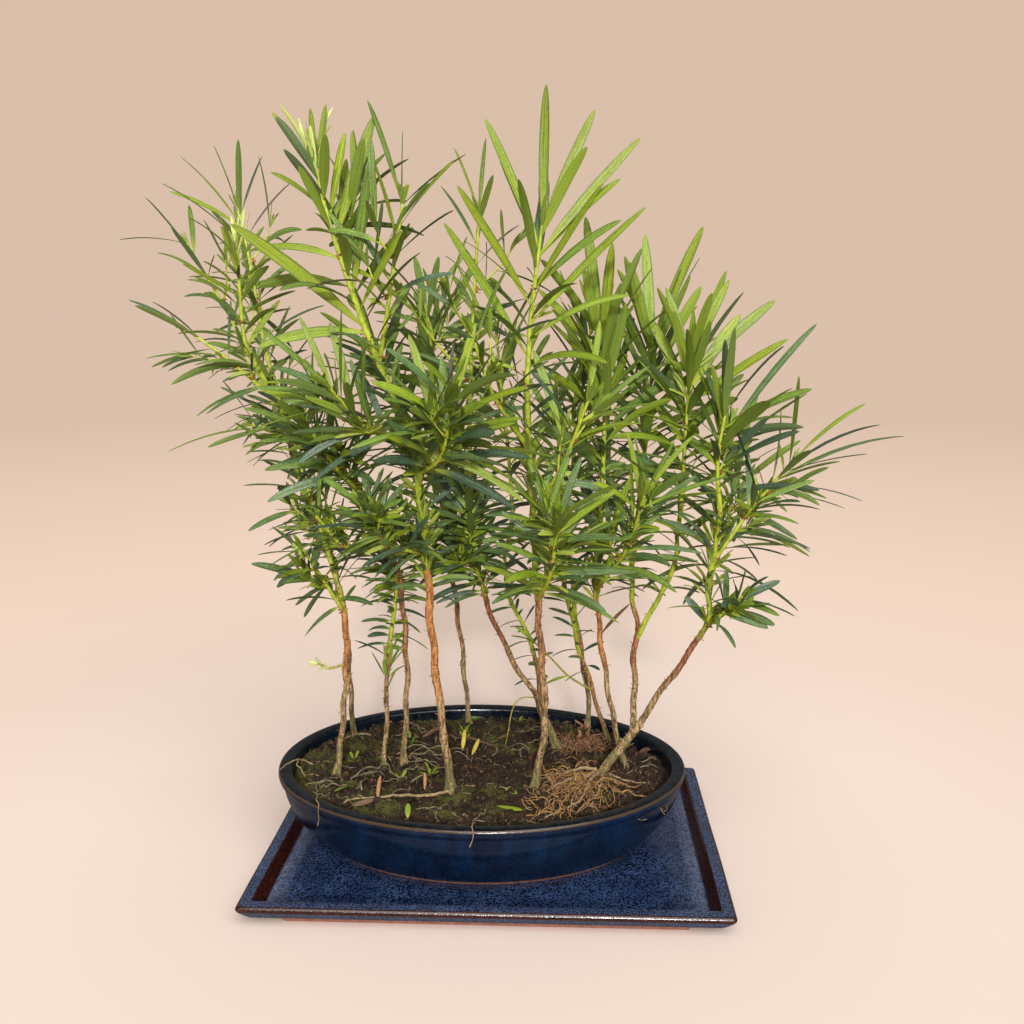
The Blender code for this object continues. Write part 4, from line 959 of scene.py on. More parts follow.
def bark_piece(name, limb, finishes, chance, sides=20):
    """One stem or bough with its bark, standing for its node."""
    is_stem = name in STEMS
    own = STEMS[name] if is_stem else BOUGHS[name]
    angle = turns_of(sides)[None]
    relief, scars = bark_relief(limb, angle, chance)
    tall = limb.points[:, 2:3]
    if is_stem:
        rise = np.exp(-(tall - limb.points[0, 2]) / FLARE_HEIGHT)
        lobes = 0.6 * np.cos(ROOT_LOBES * angle + chance.uniform(0, 6)) + 0.35 * np.cos(5 * angle)
        relief = relief + FLARE * rise * (1 + lobes)
    foot = np.clip((SOIL_TOP + 92 * MM - tall) / (50 * MM), 0, 1)
    age = np.clip((own.green * MM - tall) / (45 * MM), 0, 0.52) + 0.48 * foot
    damp = 0.70 * np.clip(1 - (tall - SOIL_TOP) / (45 * MM), 0, 1)
    moss = np.clip(damp + 0.12 * ripple(angle, tall, (1, 2), (20 * MM, 40 * MM), 3, chance), 0, 1)
    relief = relief - LOWER_SLIMMER * ((1 - limb.shares[:, None]) ** 1.3 if is_stem else 0.5)
    scar = scars * np.clip(age * 2, 0.2, 1)
    level, overshoot = (FLARE_HEIGHT, 2.5 * MM) if is_stem else (0.0, 0.0)
    shape = tube(limb, sides, relief, level, overshoot, age=age, moss=moss, scar=scar)
    piece(name + "_bark", shape, finishes[own.bark], [name])


def limbs_with_bark(chance):
    """Every stem and bough as a line in steps of the bark's grain, and its piece."""
    limbs = {}
    for name, own in (STEMS | BOUGHS).items():
        if name in STEMS:
            way = np.array([(*own.way[0], SOIL_TOP / MM - 1.0), *own.way[1:]]) * MM
        else:
            way = np.concatenate([start_on(limbs[own.parent], own.at)[None], np.array(own.way) * MM])
        limbs[name] = Limb(way, own.thick * MM, own.thin * MM, LIMB_SPACING)
    finishes = {name: bark_finish(name, *tints) for name, tints in BARK_TINTS.items()}
    for name, limb in limbs.items():
        limb.sway(0.7 * MM, 34 * MM, chance)
        bark_piece(name, limb, finishes, chance)
    return limbs


# ---------------------------------------------------------------- leaves

BLADE_STATIONS = np.array([0.015, 0.06, 0.14, 0.27, 0.43, 0.59, 0.74, 0.86, 0.94, 0.982])
LEAF_WAYS = ("root", "aim", "upper")
LEAF_SIZES = ("length", "width", "droop", "curl", "sway", "twist", "fold", "tone")
LIFT_TO_LIGHT = 0.95  # how much more the leaves on the light's side rise
STALK_WIDTH, STALK_END = 0.16, 0.1


def leaves_from(count, **fields):
    """A set of leaves: one array a field, single values repeated for each leaf."""
    shapes = dict.fromkeys(LEAF_WAYS, (count, 3)) | dict.fromkeys(LEAF_SIZES, (count,))
    return {name: np.broadcast_to(fields.get(name, 0.0), shape).astype(float)
            for name, shape in shapes.items()}


def together(sets):
    """Several sets of leaves as one."""
    return {name: np.concatenate([leaves[name] for leaves in sets]) for name in sets[0]}


def fullness(share):
    """Width along a blade: a quarter wave up from a narrow stalk, an even stretch, a blunt oval tip."""
    rise = np.sin(np.minimum(share / 0.45, 1) * np.pi / 2) ** 0.9
    fall = (1 - np.clip((share - 0.45) / 0.55, 0, 1) ** 3.2) ** 0.6
    return np.maximum(rise * fall, STALK_WIDTH * (share < STALK_END))


def blades(leaves):
    """Closed thin blades, one for each leaf, of four points a station: edge, keel, edge and rib.

    The middle line leaves the root along the aim, sags with the square of the way along, and curls
    and sways sideways with the square too.  Across it the blade folds up or down along its rib.
    """
    s = BLADE_STATIONS[None, :, None]
    root, aim, upper = (leaves[name][:, None] for name in LEAF_WAYS)
    length, width, droop, curl, sway, twist, fold, tone = (leaves[name][:, None, None] for name in LEAF_SIZES)
    bend = -UP * droop + upper * curl + unit(np.cross(aim, upper)) * sway
    middle = root + aim * (length * s) + bend * (length * s**2)
    ahead = unit(aim + 2 * s * bend)
    side = unit(np.cross(ahead, upper))
    face = np.cross(side, ahead)
    turn = twist * s
    side, face = side * np.cos(turn) + face * np.sin(turn), face * np.cos(turn) - side * np.sin(turn)
    half = width / 2 * fullness(s)
    lifted = half * fold
    thick = 0.16 * MM + length * 0.0035 * fullness(s)
    rings = np.stack([
        middle + side * half + face * lifted,
        middle - face * thick,
        middle - side * half + face * lifted,
        middle + face * thick * 0.6,
    ], 2)
    tip = root + aim * length + bend * length
    uv = xyz(np.array([1.0, 0.5, 0.0, 0.5]), BLADE_STATIONS[:, None])[None]
    under = np.array([0.5, 1.0, 0.5, 0.0])
    return closed_rounds(root[:, 0], rings, tip[:, 0], uv, under=under, tone=tone)


def turned(vectors, axes, angle):
    """Vectors at right angles to their axes, turned round them."""
    return vectors * np.cos(angle)[:, None] + np.cross(axes, vectors) * np.sin(angle)[:, None]


def square_to(axis, vectors):
    """The part of unit length that vectors have at right angles to an axis."""
    return unit(vectors - axis * (vectors * axis).sum(-1, keepdims=True))


def leaf_width(length):
    """How wide a leaf is: a twelfth of its length, and never very narrow or broad."""
    return np.clip(length / 11.5, 2.7 * MM, 6.0 * MM)


def sprayed(limb, shares, turns, length, spread, chance, twist=40, lowest=LOWEST_AIM):
    """Leaves of a twig at turns round it: longer or shorter and closer to it the further up they sit."""
    place, direction, _ = limb.at(shares)
    first = unit(read_off(shares, limb.shares, across(limb.directions)[0]))
    second = np.cross(direction, first)
    count = len(shares)
    height = shares**1.2
    angle = np.radians(spread[0] + (spread[1] - spread[0]) * height + chance.uniform(-9, 9, count))
    outward = first * np.cos(turns)[:, None] + second * np.sin(turns)[:, None]
    aim = direction * np.cos(angle)[:, None] + outward * np.sin(angle)[:, None]
    aim[:, 2] = np.maximum(aim[:, 2], lowest + LIFT_TO_LIGHT * np.maximum(-aim[:, 1], 0))
    aim = unit(aim)
    long = (length[0] + (length[1] - length[0]) * height) * chance.uniform(0.80, 1.1, count) * MM
    upper = turned(square_to(aim, direction), aim, np.radians(chance.uniform(-twist, twist, count)))
    droop = (0.14 + 0.24 * (1 - height)) * chance.uniform(0.6, 1.4, count) * np.hypot(aim[:, 0], aim[:, 1])
    return leaves_from(
        count, root=place, aim=aim, upper=upper, length=long,
        width=leaf_width(long) * chance.uniform(0.85, 1.15, count), droop=droop,
        curl=chance.uniform(-0.10, 0.05, count), sway=chance.uniform(-0.07, 0.07, count),
        twist=chance.uniform(-0.6, 0.6, count), fold=chance.uniform(-0.06, 0.34, count),
        tone=chance.uniform(0.84, 1.12, count),
    )


# What the leaves that reach the crown's bounds are like, on fresh growth and elsewhere: how much they
# sag, where their faces turn, and their share of the usual width.
REACH_FRESH = ((0.04, 0.12), (0, -1.0, 0.25), (0.82, 1.0))
REACH_OTHER = ((0.14, 0.30), (0, -0.15, 0.6), (0.6, 0.85))


def reaching(limb, tips, look, chance):
    """The leaves whose tips are the crown's furthest points: aimed above their tip by what they sag.
    On fresh growth they turn their faces to the front, and elsewhere they lie as the others do."""
    sags, front, widths = REACH_FRESH if look == "fresh" else REACH_OTHER
    tips = np.array(tips, float)
    count = len(tips)
    place, direction, _ = limb.at(np.minimum(tips[:, 0], 0.995))
    span = tips[:, 1:] * MM - place
    sag = chance.uniform(*sags, count) * np.linalg.norm(span, axis=1)
    raised = span + UP * sag[:, None]
    long = np.linalg.norm(raised, axis=1)
    aim = raised / long[:, None]
    upper = square_to(aim, direction * 0.5 + np.array(front))
    upper = turned(upper, aim, np.radians(chance.uniform(-25, 25, count)))
    return leaves_from(
        count, root=place, aim=aim, upper=upper, length=long,
        width=leaf_width(long) * chance.uniform(*widths, count), droop=sag / long,
        twist=chance.uniform(-0.5, 0.5, count), fold=chance.uniform(0.05, 0.32, count),
        tone=chance.uniform(0.86, 1.08, count),
    )


def tuft(limb, count, length, chance):
    """Young leaves at a twig's tip: short, narrow, close together and nearly upright."""
    turns = np.arange(count) * GOLDEN_ANGLE + chance.uniform(0, 6)
    leaves = sprayed(limb, np.linspace(0.955, 0.998, count), turns, length, (30, 12), chance)
    leaves["width"] = np.maximum(leaves["length"] / 8, 1.6 * MM)
    leaves["length"] = leaves["length"] * np.linspace(1.0, 0.55, count)
    return leaves


INNER = {"fresh": 0.3, "mid": 0.5, "dark": 1.1}  # short inner leaves for each long one
LONGER = {"fresh": 1.12, "mid": 1.12, "dark": 1.0}  # leaves of each look, against the solid's
SHOOT_AGE = {"fresh": -0.1, "mid": 0.05, "dark": 0.2}  # how brown their shoots are
PURPLISH_SHADE_WIDTH = 0.40  # leaves of the purplish painted-shade tint are this narrow for their kind
LEAFY_EVERY = 3.2 * MM  # from leaf to leaf on a stem or bough
TWIG_SPACING = 1.8 * MM
# Tufts of pale leaves at a mass's tip: how many, their length in mm and their width for it.
PALE_TUFTS = {"foliage_05_top": (10, (32, 40), 0.085), "foliage_04_top": (13, (24, 30), 0.09)}
# Where short young leaves crowd a limb: from and to which height in mm, and how many.
YOUNG_ON = {
    "stem_05": (186, 268, 84), "stem_06": (188, 235, 44), "stem_04": (196, 250, 30),
    "stem_02": (176, 240, 26), "stem_11": (162, 203, 26), "stem_03": (104, 128, 14),
    "bough_12_outer": (150, 223, 40), "stem_08": (190, 270, 40), "bough_07_left": (190, 239, 30),
}
# How a mass's leaves share out among the tints, low on its stem and at its tip.  The low hands and the
# dark look lean to deeper greens: partly the colour of older leaves, partly painted shade low in the crown
# and at its back and sides.
LOOKS = {
    "fresh": (dict(fresh=0.35, mid=0.45, deep=0.20), dict(bright=0.65, fresh=0.35)),
    "mid": (dict(mid=0.45, deep=0.38, shade=0.15, dusk=0.02),
            dict(fresh=0.45, mid=0.38, bright=0.15, dusk=0.02)),
    "dark": (dict(deep=0.46, shade=0.34, mid=0.15, dusk=0.05),
             dict(mid=0.48, deep=0.36, fresh=0.13, dusk=0.03)),
}
INNER_TINTS = dict(bright=0.40, fresh=0.22, new=0.24, mid=0.14)
YOUNG_TINTS = dict(bright=0.36, fresh=0.24, new=0.30, mid=0.10)
CROWN_FROM, CROWN_TO = np.array([-248, -120, 60]) * MM, np.array([247, 190, 469]) * MM


def drawn(hand, chance, count=None):
    """A tint, or a number of them, drawn from a hand of tints and their odds."""
    return chance.choice(list(hand), count, p=list(hand.values()))


def dealt(look, shares, chance):
    """The tint of each leaf: drawn from the look's low or high hand, the higher up the likelier the high."""
    low, high = LOOKS[look]
    hands = (high if chance.random() < max(share, 0) ** 1.3 else low for share in shares)
    return np.array([drawn(hand, chance) for hand in hands])


def mass_twigs(mass, limb, chance):
    """The mass's own stem, the side twigs that branch from it by turns, and finer ones between them."""
    twigs = [limb]
    total = mass.twigs + (0 if mass.look == "fresh" else 2)
    first, second = (axes[0] for axes in across(limb.directions))
    for number in range(total):
        share_of_length, thick = (0.42, 2.0) if number < mass.twigs else (0.24, 1.5)
        place, direction, _ = limb.at(0.30 + 0.5 * (number + 0.5) / total)
        turn = number * GOLDEN_ANGLE + chance.uniform(0, ROUND)
        outward = first * math.cos(turn) + second * math.sin(turn)
        end = place + (direction * 0.72 + outward * 0.62) * (limb.length * share_of_length)
        way = np.array([place, place + (end - place) * 0.5 + outward * 2 * MM, end])
        twigs.append(Limb(way, thick * MM, thick * 0.6 * MM, TWIG_SPACING))
    return twigs


def shoot_surface(limb, age):
    """A green shoot: five ridges that run down in a slow spiral, and a cushion at each leaf's base."""
    sides = 8
    angle, along = turns_of(sides)[None], limb.along[:, None]
    ridges = 0.10 * np.cos(5 * angle + along / (9 * MM))
    cushions = 0.10 * np.cos(ROUND * along / (5.2 * MM)) * np.cos(angle - along / (2.1 * MM))
    return tube(limb, sides, ridges + cushions, age=age)


def flaps(limb, shares, turns, length, spread, chance, twist, back, out, wide):
    """Small pointed flaps that stand out from a limb's skin: back is how far they lean away from the
    limb's own way, out how far from its middle they start, in radii, and wide their width for length."""
    made = sprayed(limb, shares, turns, length, spread, chance, twist=twist)
    outward = unit(made["aim"] - limb.at(shares)[1] * back)
    made["root"] = made["root"] + outward * limb.at(shares)[2][:, None] * out
    made["width"] = made["length"] * wide
    return made


def scales_at(limb, share, count, chance):
    """Bud scales: flaps in a ring round a twig where a year's growth began."""
    shares = np.clip(share + chance.uniform(-1.6, 1.6, count) * MM / limb.length, 0, 1)
    turns = np.arange(count) * GOLDEN_ANGLE
    return flaps(limb, shares, turns, (3.4, 3.4), (38, 38), chance, 5, 0.6, 0.6, 0.42)


def stubs(limb, chance):
    """Stubs of old leaf bases that stand out from the bark, here and there above the foot."""
    count = int(limb.length / (7 * MM))
    shares, turns = chance.uniform(0.18, 0.98, count), chance.uniform(0, ROUND, count)
    return flaps(limb, shares, turns, (2.4, 3.2), (58, 40), chance, 10, 0.5, 0.75, 0.36)


def young_leaves(limb, low, high, count, chance):
    """Short young leaves that crowd a limb between two heights."""
    shares = limb.share_at(np.sort(chance.uniform(low, high, count)) * MM)
    young = sprayed(limb, shares, chance.uniform(0, ROUND, count), (11, 21), (46, 24), chance, 60, -0.1)
    _, direction, radius = limb.at(shares)
    young["root"] = young["root"] + square_to(direction, young["aim"]) * radius[:, None] * 0.7
    return young, drawn(YOUNG_TINTS, chance, count)


def limb_leaves(own, limb, chance):
    """Leaves that sit on a stem or bough itself, from the crown's lower edge up."""
    start = limb.share_at(own.leafy * MM)
    count = int(limb.length * (1 - start) / LEAFY_EVERY)
    shares = start + (1 - start) * (np.arange(count) + 0.5) / max(count, 1)
    turns = np.arange(count) * GOLDEN_ANGLE + chance.uniform(-0.4, 0.4, count)
    leaves = sprayed(limb, shares, turns, (15, 26) if own.short else (20, 40), (78, 52), chance, 50)
    high = np.interp(shares, limb.shares, limb.points[:, 2])
    # the lower a leaf sits, the likelier a deeper green: partly older leaves, partly painted shade
    return leaves, dealt("dark", np.clip((high - 0.15) / 0.25, 0, 1), chance)


def mass_leaves(mass, stem, twigs, chance):
    """A mass's leaves, in sets each with its tints: on its stem, on its side twigs, the short inner
    ones, those that reach the crown's bounds, and the tufts at the tips."""
    count = round(mass.leaves * mass.finer)
    own = round(count * (0.62 if len(twigs) > 1 else 1))
    shares = 0.05 + 0.94 * (np.arange(own) + 0.5) / own
    turns = np.arange(own) * GOLDEN_ANGLE + chance.uniform(-0.3, 0.3, own)
    longest = np.array(mass.length) * LONGER[mass.look]
    wide_twist = 65 if mass.look == "fresh" else 45
    leaves = sprayed(stem, shares, turns, longest, mass.spread, chance, wide_twist, mass.lowest)
    yield leaves, dealt(mass.look, shares, chance)
    side_count = max(4, round((count - own) / max(len(twigs) - 1, 1)))
    for twig in twigs[1:]:
        shares = np.linspace(0.25, 0.98, side_count)
        turns = np.arange(side_count) * GOLDEN_ANGLE + chance.uniform(0, 6)
        leaves = sprayed(twig, shares, turns, longest * (0.8, 0.85), mass.spread, chance)
        yield leaves, dealt(mass.look, shares, chance)
    few = max(4, round(INNER[mass.look] * count / len(twigs)))
    for twig in twigs:
        shares = chance.uniform(0.02, 0.9, few)
        inner = sprayed(twig, shares, chance.uniform(0, ROUND, few), (11, 24), (72, 40), chance, 60)
        yield inner, drawn(INNER_TINTS, chance, few)
    if mass.reach:
        leaves = reaching(stem, mass.reach, mass.look, chance)
        high = (0.85 if mass.look == "fresh" else 0.0) + 0.4 * np.array(mass.reach)[:, 0]
        yield leaves, dealt(mass.look, high, chance)
    for twig in twigs:
        young = tuft(twig, 5, (9, 14) if mass.look == "dark" else (14, 20), chance)
        yield young, np.where(chance.random(5) < 0.5, "new" if mass.look == "fresh" else "bright", "fresh")


def foliage(limbs):
    """Every mass: its twigs, and its leaves dealt out by tint."""
    shoots, scales, sets, ends = [], [], [], {}
    for number, (name, mass) in enumerate(MASSES.items()):
        chance = seeded(40 + number)
        parent = limbs[mass.parent]
        way = np.concatenate([start_on(parent, mass.at)[None], np.array(mass.way, float) * MM])
        thick = parent.radii[-1] * 2 if mass.at is TIP else 2.8 * MM
        ends[name] = stem = Limb(way, thick, 1.6 * MM, TWIG_SPACING)
        twigs = mass_twigs(mass, stem, chance)
        for twig in twigs:
            age = np.clip(SHOOT_AGE[mass.look] + 0.5 - twig.shares, 0, 1)
            shoots.append(shoot_surface(twig, age[:, None]))
            scales.append(scales_at(twig, 0.03, 9, chance))
        scales.append(scales_at(stem, chance.uniform(0.45, 0.6), 7, chance))
        for leaves, names in mass_leaves(mass, stem, twigs, chance):
            leaves["width"] = leaves["width"] * mass.broad
            sets.append((leaves, names))
    for number, (name, own) in enumerate((STEMS | BOUGHS).items()):
        sets.append(limb_leaves(own, limbs[name], seeded(900 + number)))
    for number, (name, crowd) in enumerate(YOUNG_ON.items()):
        sets.append(young_leaves(limbs[name], *crowd, seeded(930 + number)))
    chance = seeded(880)
    for name, (count, long, wide) in PALE_TUFTS.items():
        young = tuft(ends[name], count, long, chance)
        young["width"] = young["length"] * wide
        young["droop"], young["curl"] = chance.uniform(-0.05, 0.2, count), chance.uniform(-0.4, 0.25, count)
        sets.append((young, np.full(count, "pale")))
    leaves, tints = (list(part) for part in zip(*sets))
    leaves, tints = kept_within(together(leaves)), np.concatenate(tints)
    leaves["width"] = leaves["width"] * np.where(tints == "dusk", PURPLISH_SHADE_WIDTH, 1.0)
    return shoots, scales, leaves, tints


def kept_within(leaves):
    """Leaves shortened where their tips would go past the crown's bounds, but never to under 0.3."""
    span = (leaves["aim"] - UP * leaves["droop"][:, None]) * leaves["length"][:, None]
    bound = np.where(span < 0, CROWN_FROM, CROWN_TO) - leaves["root"]
    moves = np.abs(span) > 1e-6
    share = np.where(moves, bound / np.where(moves, span, 1.0), 1.0)
    leaves["length"] = leaves["length"] * np.clip(share.min(axis=1), 0.3, 1.0)
    return leaves


# ---------------------------------------------------------------- roots, moss and litter

ROOT_SPACING = 1.6 * MM
HAIR, FIBRE, CORD = (0.3, 0.8), (0.35, 1.0), (0.5, 1.5)  # thickness of the roots in a heap, in mm
# Roots that show, each from its foot to its end: points on or over the soil, thickness at both ends.
BARED_ROOTS = [
    ([(-26, -29, 52), (-40, -33, 50.8), (-56, -35, 51.6), (-71, -39, 51.8), (-86, -42, 51.6),
      (-90, -47, 50.6)], 2.2, 1.2),
    ([(-121, 10, 51), (-125, 9, 53.5), (-129, 4, 57), (-134, -4, 57.4), (-137, -12, 56.8)], 1.3, 0.6),
    ([(-129, 4, 57), (-128, -3, 56.6), (-124, -7, 54), (-121, -12, 52)], 1.1, 0.5),
    ([(-112, -20, 50.5), (-108, -36, 52), (-105, -48, 56.6), (-103, -56, 56.9), (-101.5, -60.6, 54.4),
      (-101.4, -61, 49), (-102.4, -60, 43)], 1.0, 0.5),
    ([(-10, -60, 50.5), (-8, -71, 51.8), (-7.4, -79, 56.5), (-7, -86, 56.7), (-6.8, -88.8, 54.4),
      (-7.2, -89.2, 50), (-8.6, -88.6, 46.2)], 1.0, 0.55),
    ([(67, -1, 54), (60, -8, 54.5), (50, -12, 54), (42, -20, 54), (35, -24, 51)], 2.9, 1.2),
    ([(68, -2, 54), (62, -14, 55), (59, -26, 53.5), (54, -40, 52), (43, -50, 51), (34, -58, 50)], 2.6, 1.0),
    ([(66, 0, 55), (57, 1, 55.5), (47, -2, 53.5), (38, -4, 52.4), (30, -12, 51)], 2.4, 1.0),
    ([(69, -2, 54), (69, -14, 54.6), (66, -30, 53), (62, -44, 51.5), (64, -55, 50.5)], 2.3, 0.9),
    ([(72, 0, 53), (82, -7, 52), (92, -10, 51), (101, -8, 50.5)], 1.5, 0.7),
    ([(-103, 58, 52.5), (-95, 62, 51.2), (-86, 60, 50.6)], 1.7, 0.8),
    ([(-103, 57, 52.5), (-110, 51, 51.2), (-116, 47, 50.4)], 1.5, 0.7),
    ([(-62, 17, 52.5), (-70, 23, 51.2), (-79, 25, 50.6)], 1.5, 0.7),
    ([(26, -14, 52.5), (34, -9, 51.6), (42, -5, 51)], 1.9, 1.0),
    ([(42, 48, 52.5), (49, 43, 51.2), (56, 41, 50.4)], 1.7, 0.8),
    ([(-25, -26, 52.5), (-17, -20, 51.4), (-10, -18, 50.6)], 1.8, 0.8),
]
# Shrivelled stumps in the dead tuft: points, thickness at the foot and at the end.
DEAD_STUMPS = [
    ([(58, 50, 48), (55, 48, 58), (57, 46, 66), (53, 46, 70)], 3.4, 1.6),
    ([(63, 47, 48), (60, 44, 56), (62, 42, 62)], 2.8, 1.2),
    ([(53, 46, 48), (50, 44, 54), (46, 44, 58)], 2.6, 1.2),
    ([(60, 55, 48), (62, 56, 58), (59, 58, 66)], 2.8, 1.2),
]
# Where loose curls of root lie on the soil, and how many.
CURLS = [((-58, 18), 11), ((-68, -22), 9), ((-92, -4), 7), ((-34, 40), 6), ((-100, -28), 4), ((-20, -50), 3),
         ((4, 36), 4), ((30, 76), 4), ((90, 20), 3), ((-60, 70), 4), ((86, -26), 3)]


def lying_root(chance):
    """A fibre that wanders over the soil: its heading turns a little at each step, and its height is
    the ground's, so that it dips under here and there."""
    x, y = scattered(1, chance, 0.93)
    heading, length = chance.uniform(0, 6.3), chance.uniform(6, 24) * MM
    thick = chance.uniform(0.25, 0.65) * MM
    steps = max(4, int(length / (3 * MM)))
    stride = length / steps
    heading = heading + np.cumsum(chance.normal(0, 0.55, steps))
    x = x + np.concatenate([[0], np.cumsum(np.cos(heading))]) * stride
    y = y + np.concatenate([[0], np.cumsum(np.sin(heading))]) * stride
    out = np.maximum(edge_share(x, y) / 0.96, 1)
    x, y = POT_PLACE[0] + (x - POT_PLACE[0]) / out, POT_PLACE[1] + (y - POT_PLACE[1]) / out
    z = ground(x, y) + 0.4 * MM + chance.normal(0, 0.5, steps + 1) * MM
    return Limb(xyz(x, y, z), thick, thick * 0.45, ROOT_SPACING)


def heaped(count, centre, spread, reach, rise, thick, chance):
    """A heap of roots: each leaves a place near the centre at its own heading, turns as it goes, and
    arches over the ground before it comes down.  Its sizes are in millimetres."""
    sizes = (np.array(pair) * MM for pair in (centre, spread, reach, rise, thick))
    centre, spread, reach, rise, thick = sizes
    t = np.linspace(0, 1, 8)
    heap = []
    for _ in range(count):
        start = centre + chance.normal(0, 1, 2) * spread
        stride = chance.uniform(*reach) / 7
        turn = chance.uniform(0, ROUND) + chance.normal(0, 1.5) * t + chance.normal(0, 0.35, 8)
        x, y = start[0] + np.cumsum(np.cos(turn)) * stride, start[1] + np.cumsum(np.sin(turn)) * stride
        arch = chance.uniform(*rise) * np.sin(np.pi * (0.12 + 0.88 * t))
        z = ground(x, y) + arch + chance.normal(0, 0.4, 8) * MM
        width = chance.uniform(*thick)
        heap.append(Limb(xyz(x, y, z), width, width * 0.5, ROOT_SPACING))
    return heap


def root_piece(name, limbs, sides, finish, chance):
    """Roots with knobbly skins, as one piece."""
    angle = turns_of(sides)[None]
    skins = []
    for limb in limbs:
        knobs = 0.14 * ripple(angle, limb.along[:, None], (1, 3), (3 * MM, 14 * MM), 4, chance)
        skins.append(tube(limb, sides, knobs))
    piece(name, joined(skins), finish)


def roots():
    """Bared roots, the tangle at the foot of stem_12, the dead tuft behind it, and fibres all over."""
    chance = seeded(71)
    bared = [thread(*row, 1.1) for row in BARED_ROOTS]
    for limb in bared:
        limb.sway(0.5 * MM, 9 * MM, chance)
    tan = plain_finish("bared_root", (0.075, 0.050, 0.026), (0.36, 0.25, 0.13), 420.0, 0.8)
    root_piece("bared_roots", bared, 9, tan, chance)
    curls = []
    for spot, many in CURLS:
        curls += heaped(many, spot, (10, 9), (9, 30), (0.2, 6), CORD, chance)
    near = heaped(120, TANGLE_AT, (9, 12), (10, 30), (0.5, 6), FIBRE, chance)
    under = heaped(110, TANGLE_AT, (8, 11), (8, 24), (0.2, 4), HAIR, chance)
    near += heaped(40, (36, -45), (10, 9), (8, 20), (0.3, 3), FIBRE, chance)
    dead = heaped(150, (58, 48), (6, 6), (6, 20), (0.5, 8), FIBRE, chance)
    for row in DEAD_STUMPS:
        dead.append(thread(*row, 1.1))
        dead[-1].sway(1.3 * MM, 7 * MM, chance)
    gold = plain_finish("tangled_root", (0.10, 0.045, 0.015), (0.44, 0.25, 0.09), 380.0, 0.82)
    brown = plain_finish("dead_root", (0.070, 0.030, 0.014), (0.30, 0.155, 0.075), 380.0, 0.88)
    dull = plain_finish("curled_root", (0.050, 0.038, 0.022), (0.26, 0.20, 0.11), 300.0, 0.85)
    root_piece("curled_roots", curls, 5, dull, chance)
    root_piece("root_tangle", near, 5, gold, chance)
    root_piece("root_tangle_under", under, 4, brown, chance)
    root_piece("dead_tuft", dead, 5, brown, chance)
    fine = [lying_root(chance) for _ in range(80)]
    pale = plain_finish("fibre", (0.17, 0.12, 0.06), (0.42, 0.34, 0.20), 300.0, 0.75)
    root_piece("fine_roots", fine, 4, pale, chance)


def moss():
    """Moss: many tiny blades in cushions, thickest where the ground is greenest, splayed about upright."""
    chance = seeded(72)
    x, y = scattered(26000, chance, 0.985)
    keep = chance.random(len(x)) < moss_cover(x, y) ** 1.3 * 0.55
    x, y = x[keep], y[keep]
    lean = chance.normal(0, 0.55, (len(x), 2))
    aim = unit(xyz(lean[:, 0], lean[:, 1], 1.0))
    length = chance.uniform(1.0, 2.9, len(x)) * MM
    foot = xyz(x, y, ground(x, y) - 0.2 * MM)
    ring = circle(*across(aim), turns_of(3))
    middle = foot[:, None] + aim[:, None] * (length * 0.55)[:, None, None]
    rings = np.stack([foot[:, None] + ring * 0.16 * MM, middle + ring * 0.26 * MM], 1)
    surface = closed_rounds(foot, rings, foot + aim * length[:, None], np.zeros(2))
    look = plain_finish("moss", (0.022, 0.024, 0.006), (0.115, 0.120, 0.026), 130.0, 0.85)
    piece("moss_cushions", surface, look)


def earth():
    """Crumbs of dark and of lighter earth."""
    chance = seeded(73)
    dark = plain_finish("dark_crumb", (0.010, 0.006, 0.004), (0.040, 0.024, 0.014), 300.0, 0.95)
    light = plain_finish("light_crumb", (0.055, 0.032, 0.018), (0.14, 0.085, 0.05), 300.0, 0.9)
    red = plain_finish("red_crumb", (0.045, 0.018, 0.009), (0.11, 0.045, 0.022), 300.0, 0.92)
    piece("dark_crumbs", crumbs(3000, (0.4, 2.5), chance), dark)
    piece("light_crumbs", crumbs(800, (0.25, 1.5), chance), light)
    piece("red_crumbs", crumbs(420, (0.3, 2.0), chance), red)


# Fallen leaves: middle of the root end (x, y), heading in degrees, length, width, how far the tip
# stands up, and tint.
LITTER = [
    (4, -44, -32, 20, 3.2, 1.0, "bright"), (-24, 34, 84, 12, 3.0, 9.0, "yellow"),
    (-17, 29, 70, 12, 2.8, 8.0, "yellow"), (-69, -42, 92, 6, 2.6, 15.0, "amber"),
    (-43, -20, 75, 5, 2.2, 10.0, "amber"), (-48, -60, 100, 8, 3.6, 5.0, "fresh"),
    (-33, 63, -38, 46, 4.0, 1.5, "dry"), (-55, 62, 10, 16, 4.0, 5.0, "dry"),
    (8, -22, -50, 12, 4.0, 2.0, "fresh"), (36, 6, -20, 22, 3.6, 2.5, "dry"),
    (-107, 22, 95, 12, 2.8, 7.0, "yellow"), (-98, -32, 40, 11, 3.0, 3.0, "mid"),
    (20, 72, 200, 24, 4.2, 1.0, "dry"), (84, -30, 130, 18, 3.8, 1.0, "dry"),
    (96, 36, 60, 20, 4.0, 1.5, "dry"), (-60, 84, 150, 18, 4.0, 1.5, "dry"),
    (44, 92, 20, 20, 4.0, 2.0, "dry"), (100, 8, 250, 15, 3.4, 1.0, "dry"),
    (-84, -50, 20, 14, 3.4, 2.0, "dry"), (30, -62, 175, 16, 3.2, 1.0, "dry"),
    (-12, 20, 15, 22, 3.6, 1.5, "dry"), (-30, 104, 350, 18, 3.6, 1.5, "mid"),
]
# Small weeds: place, how many leaflets, and how high they stand.
WEEDS = [((-41, -4), 11, 9), ((-61, 44), 9, 8), ((-24, 56), 12, 13), ((-95, 18), 5, 5), ((-60, -8), 6, 5),
         ((12, 88), 6, 7), ((88, 52), 5, 5)]


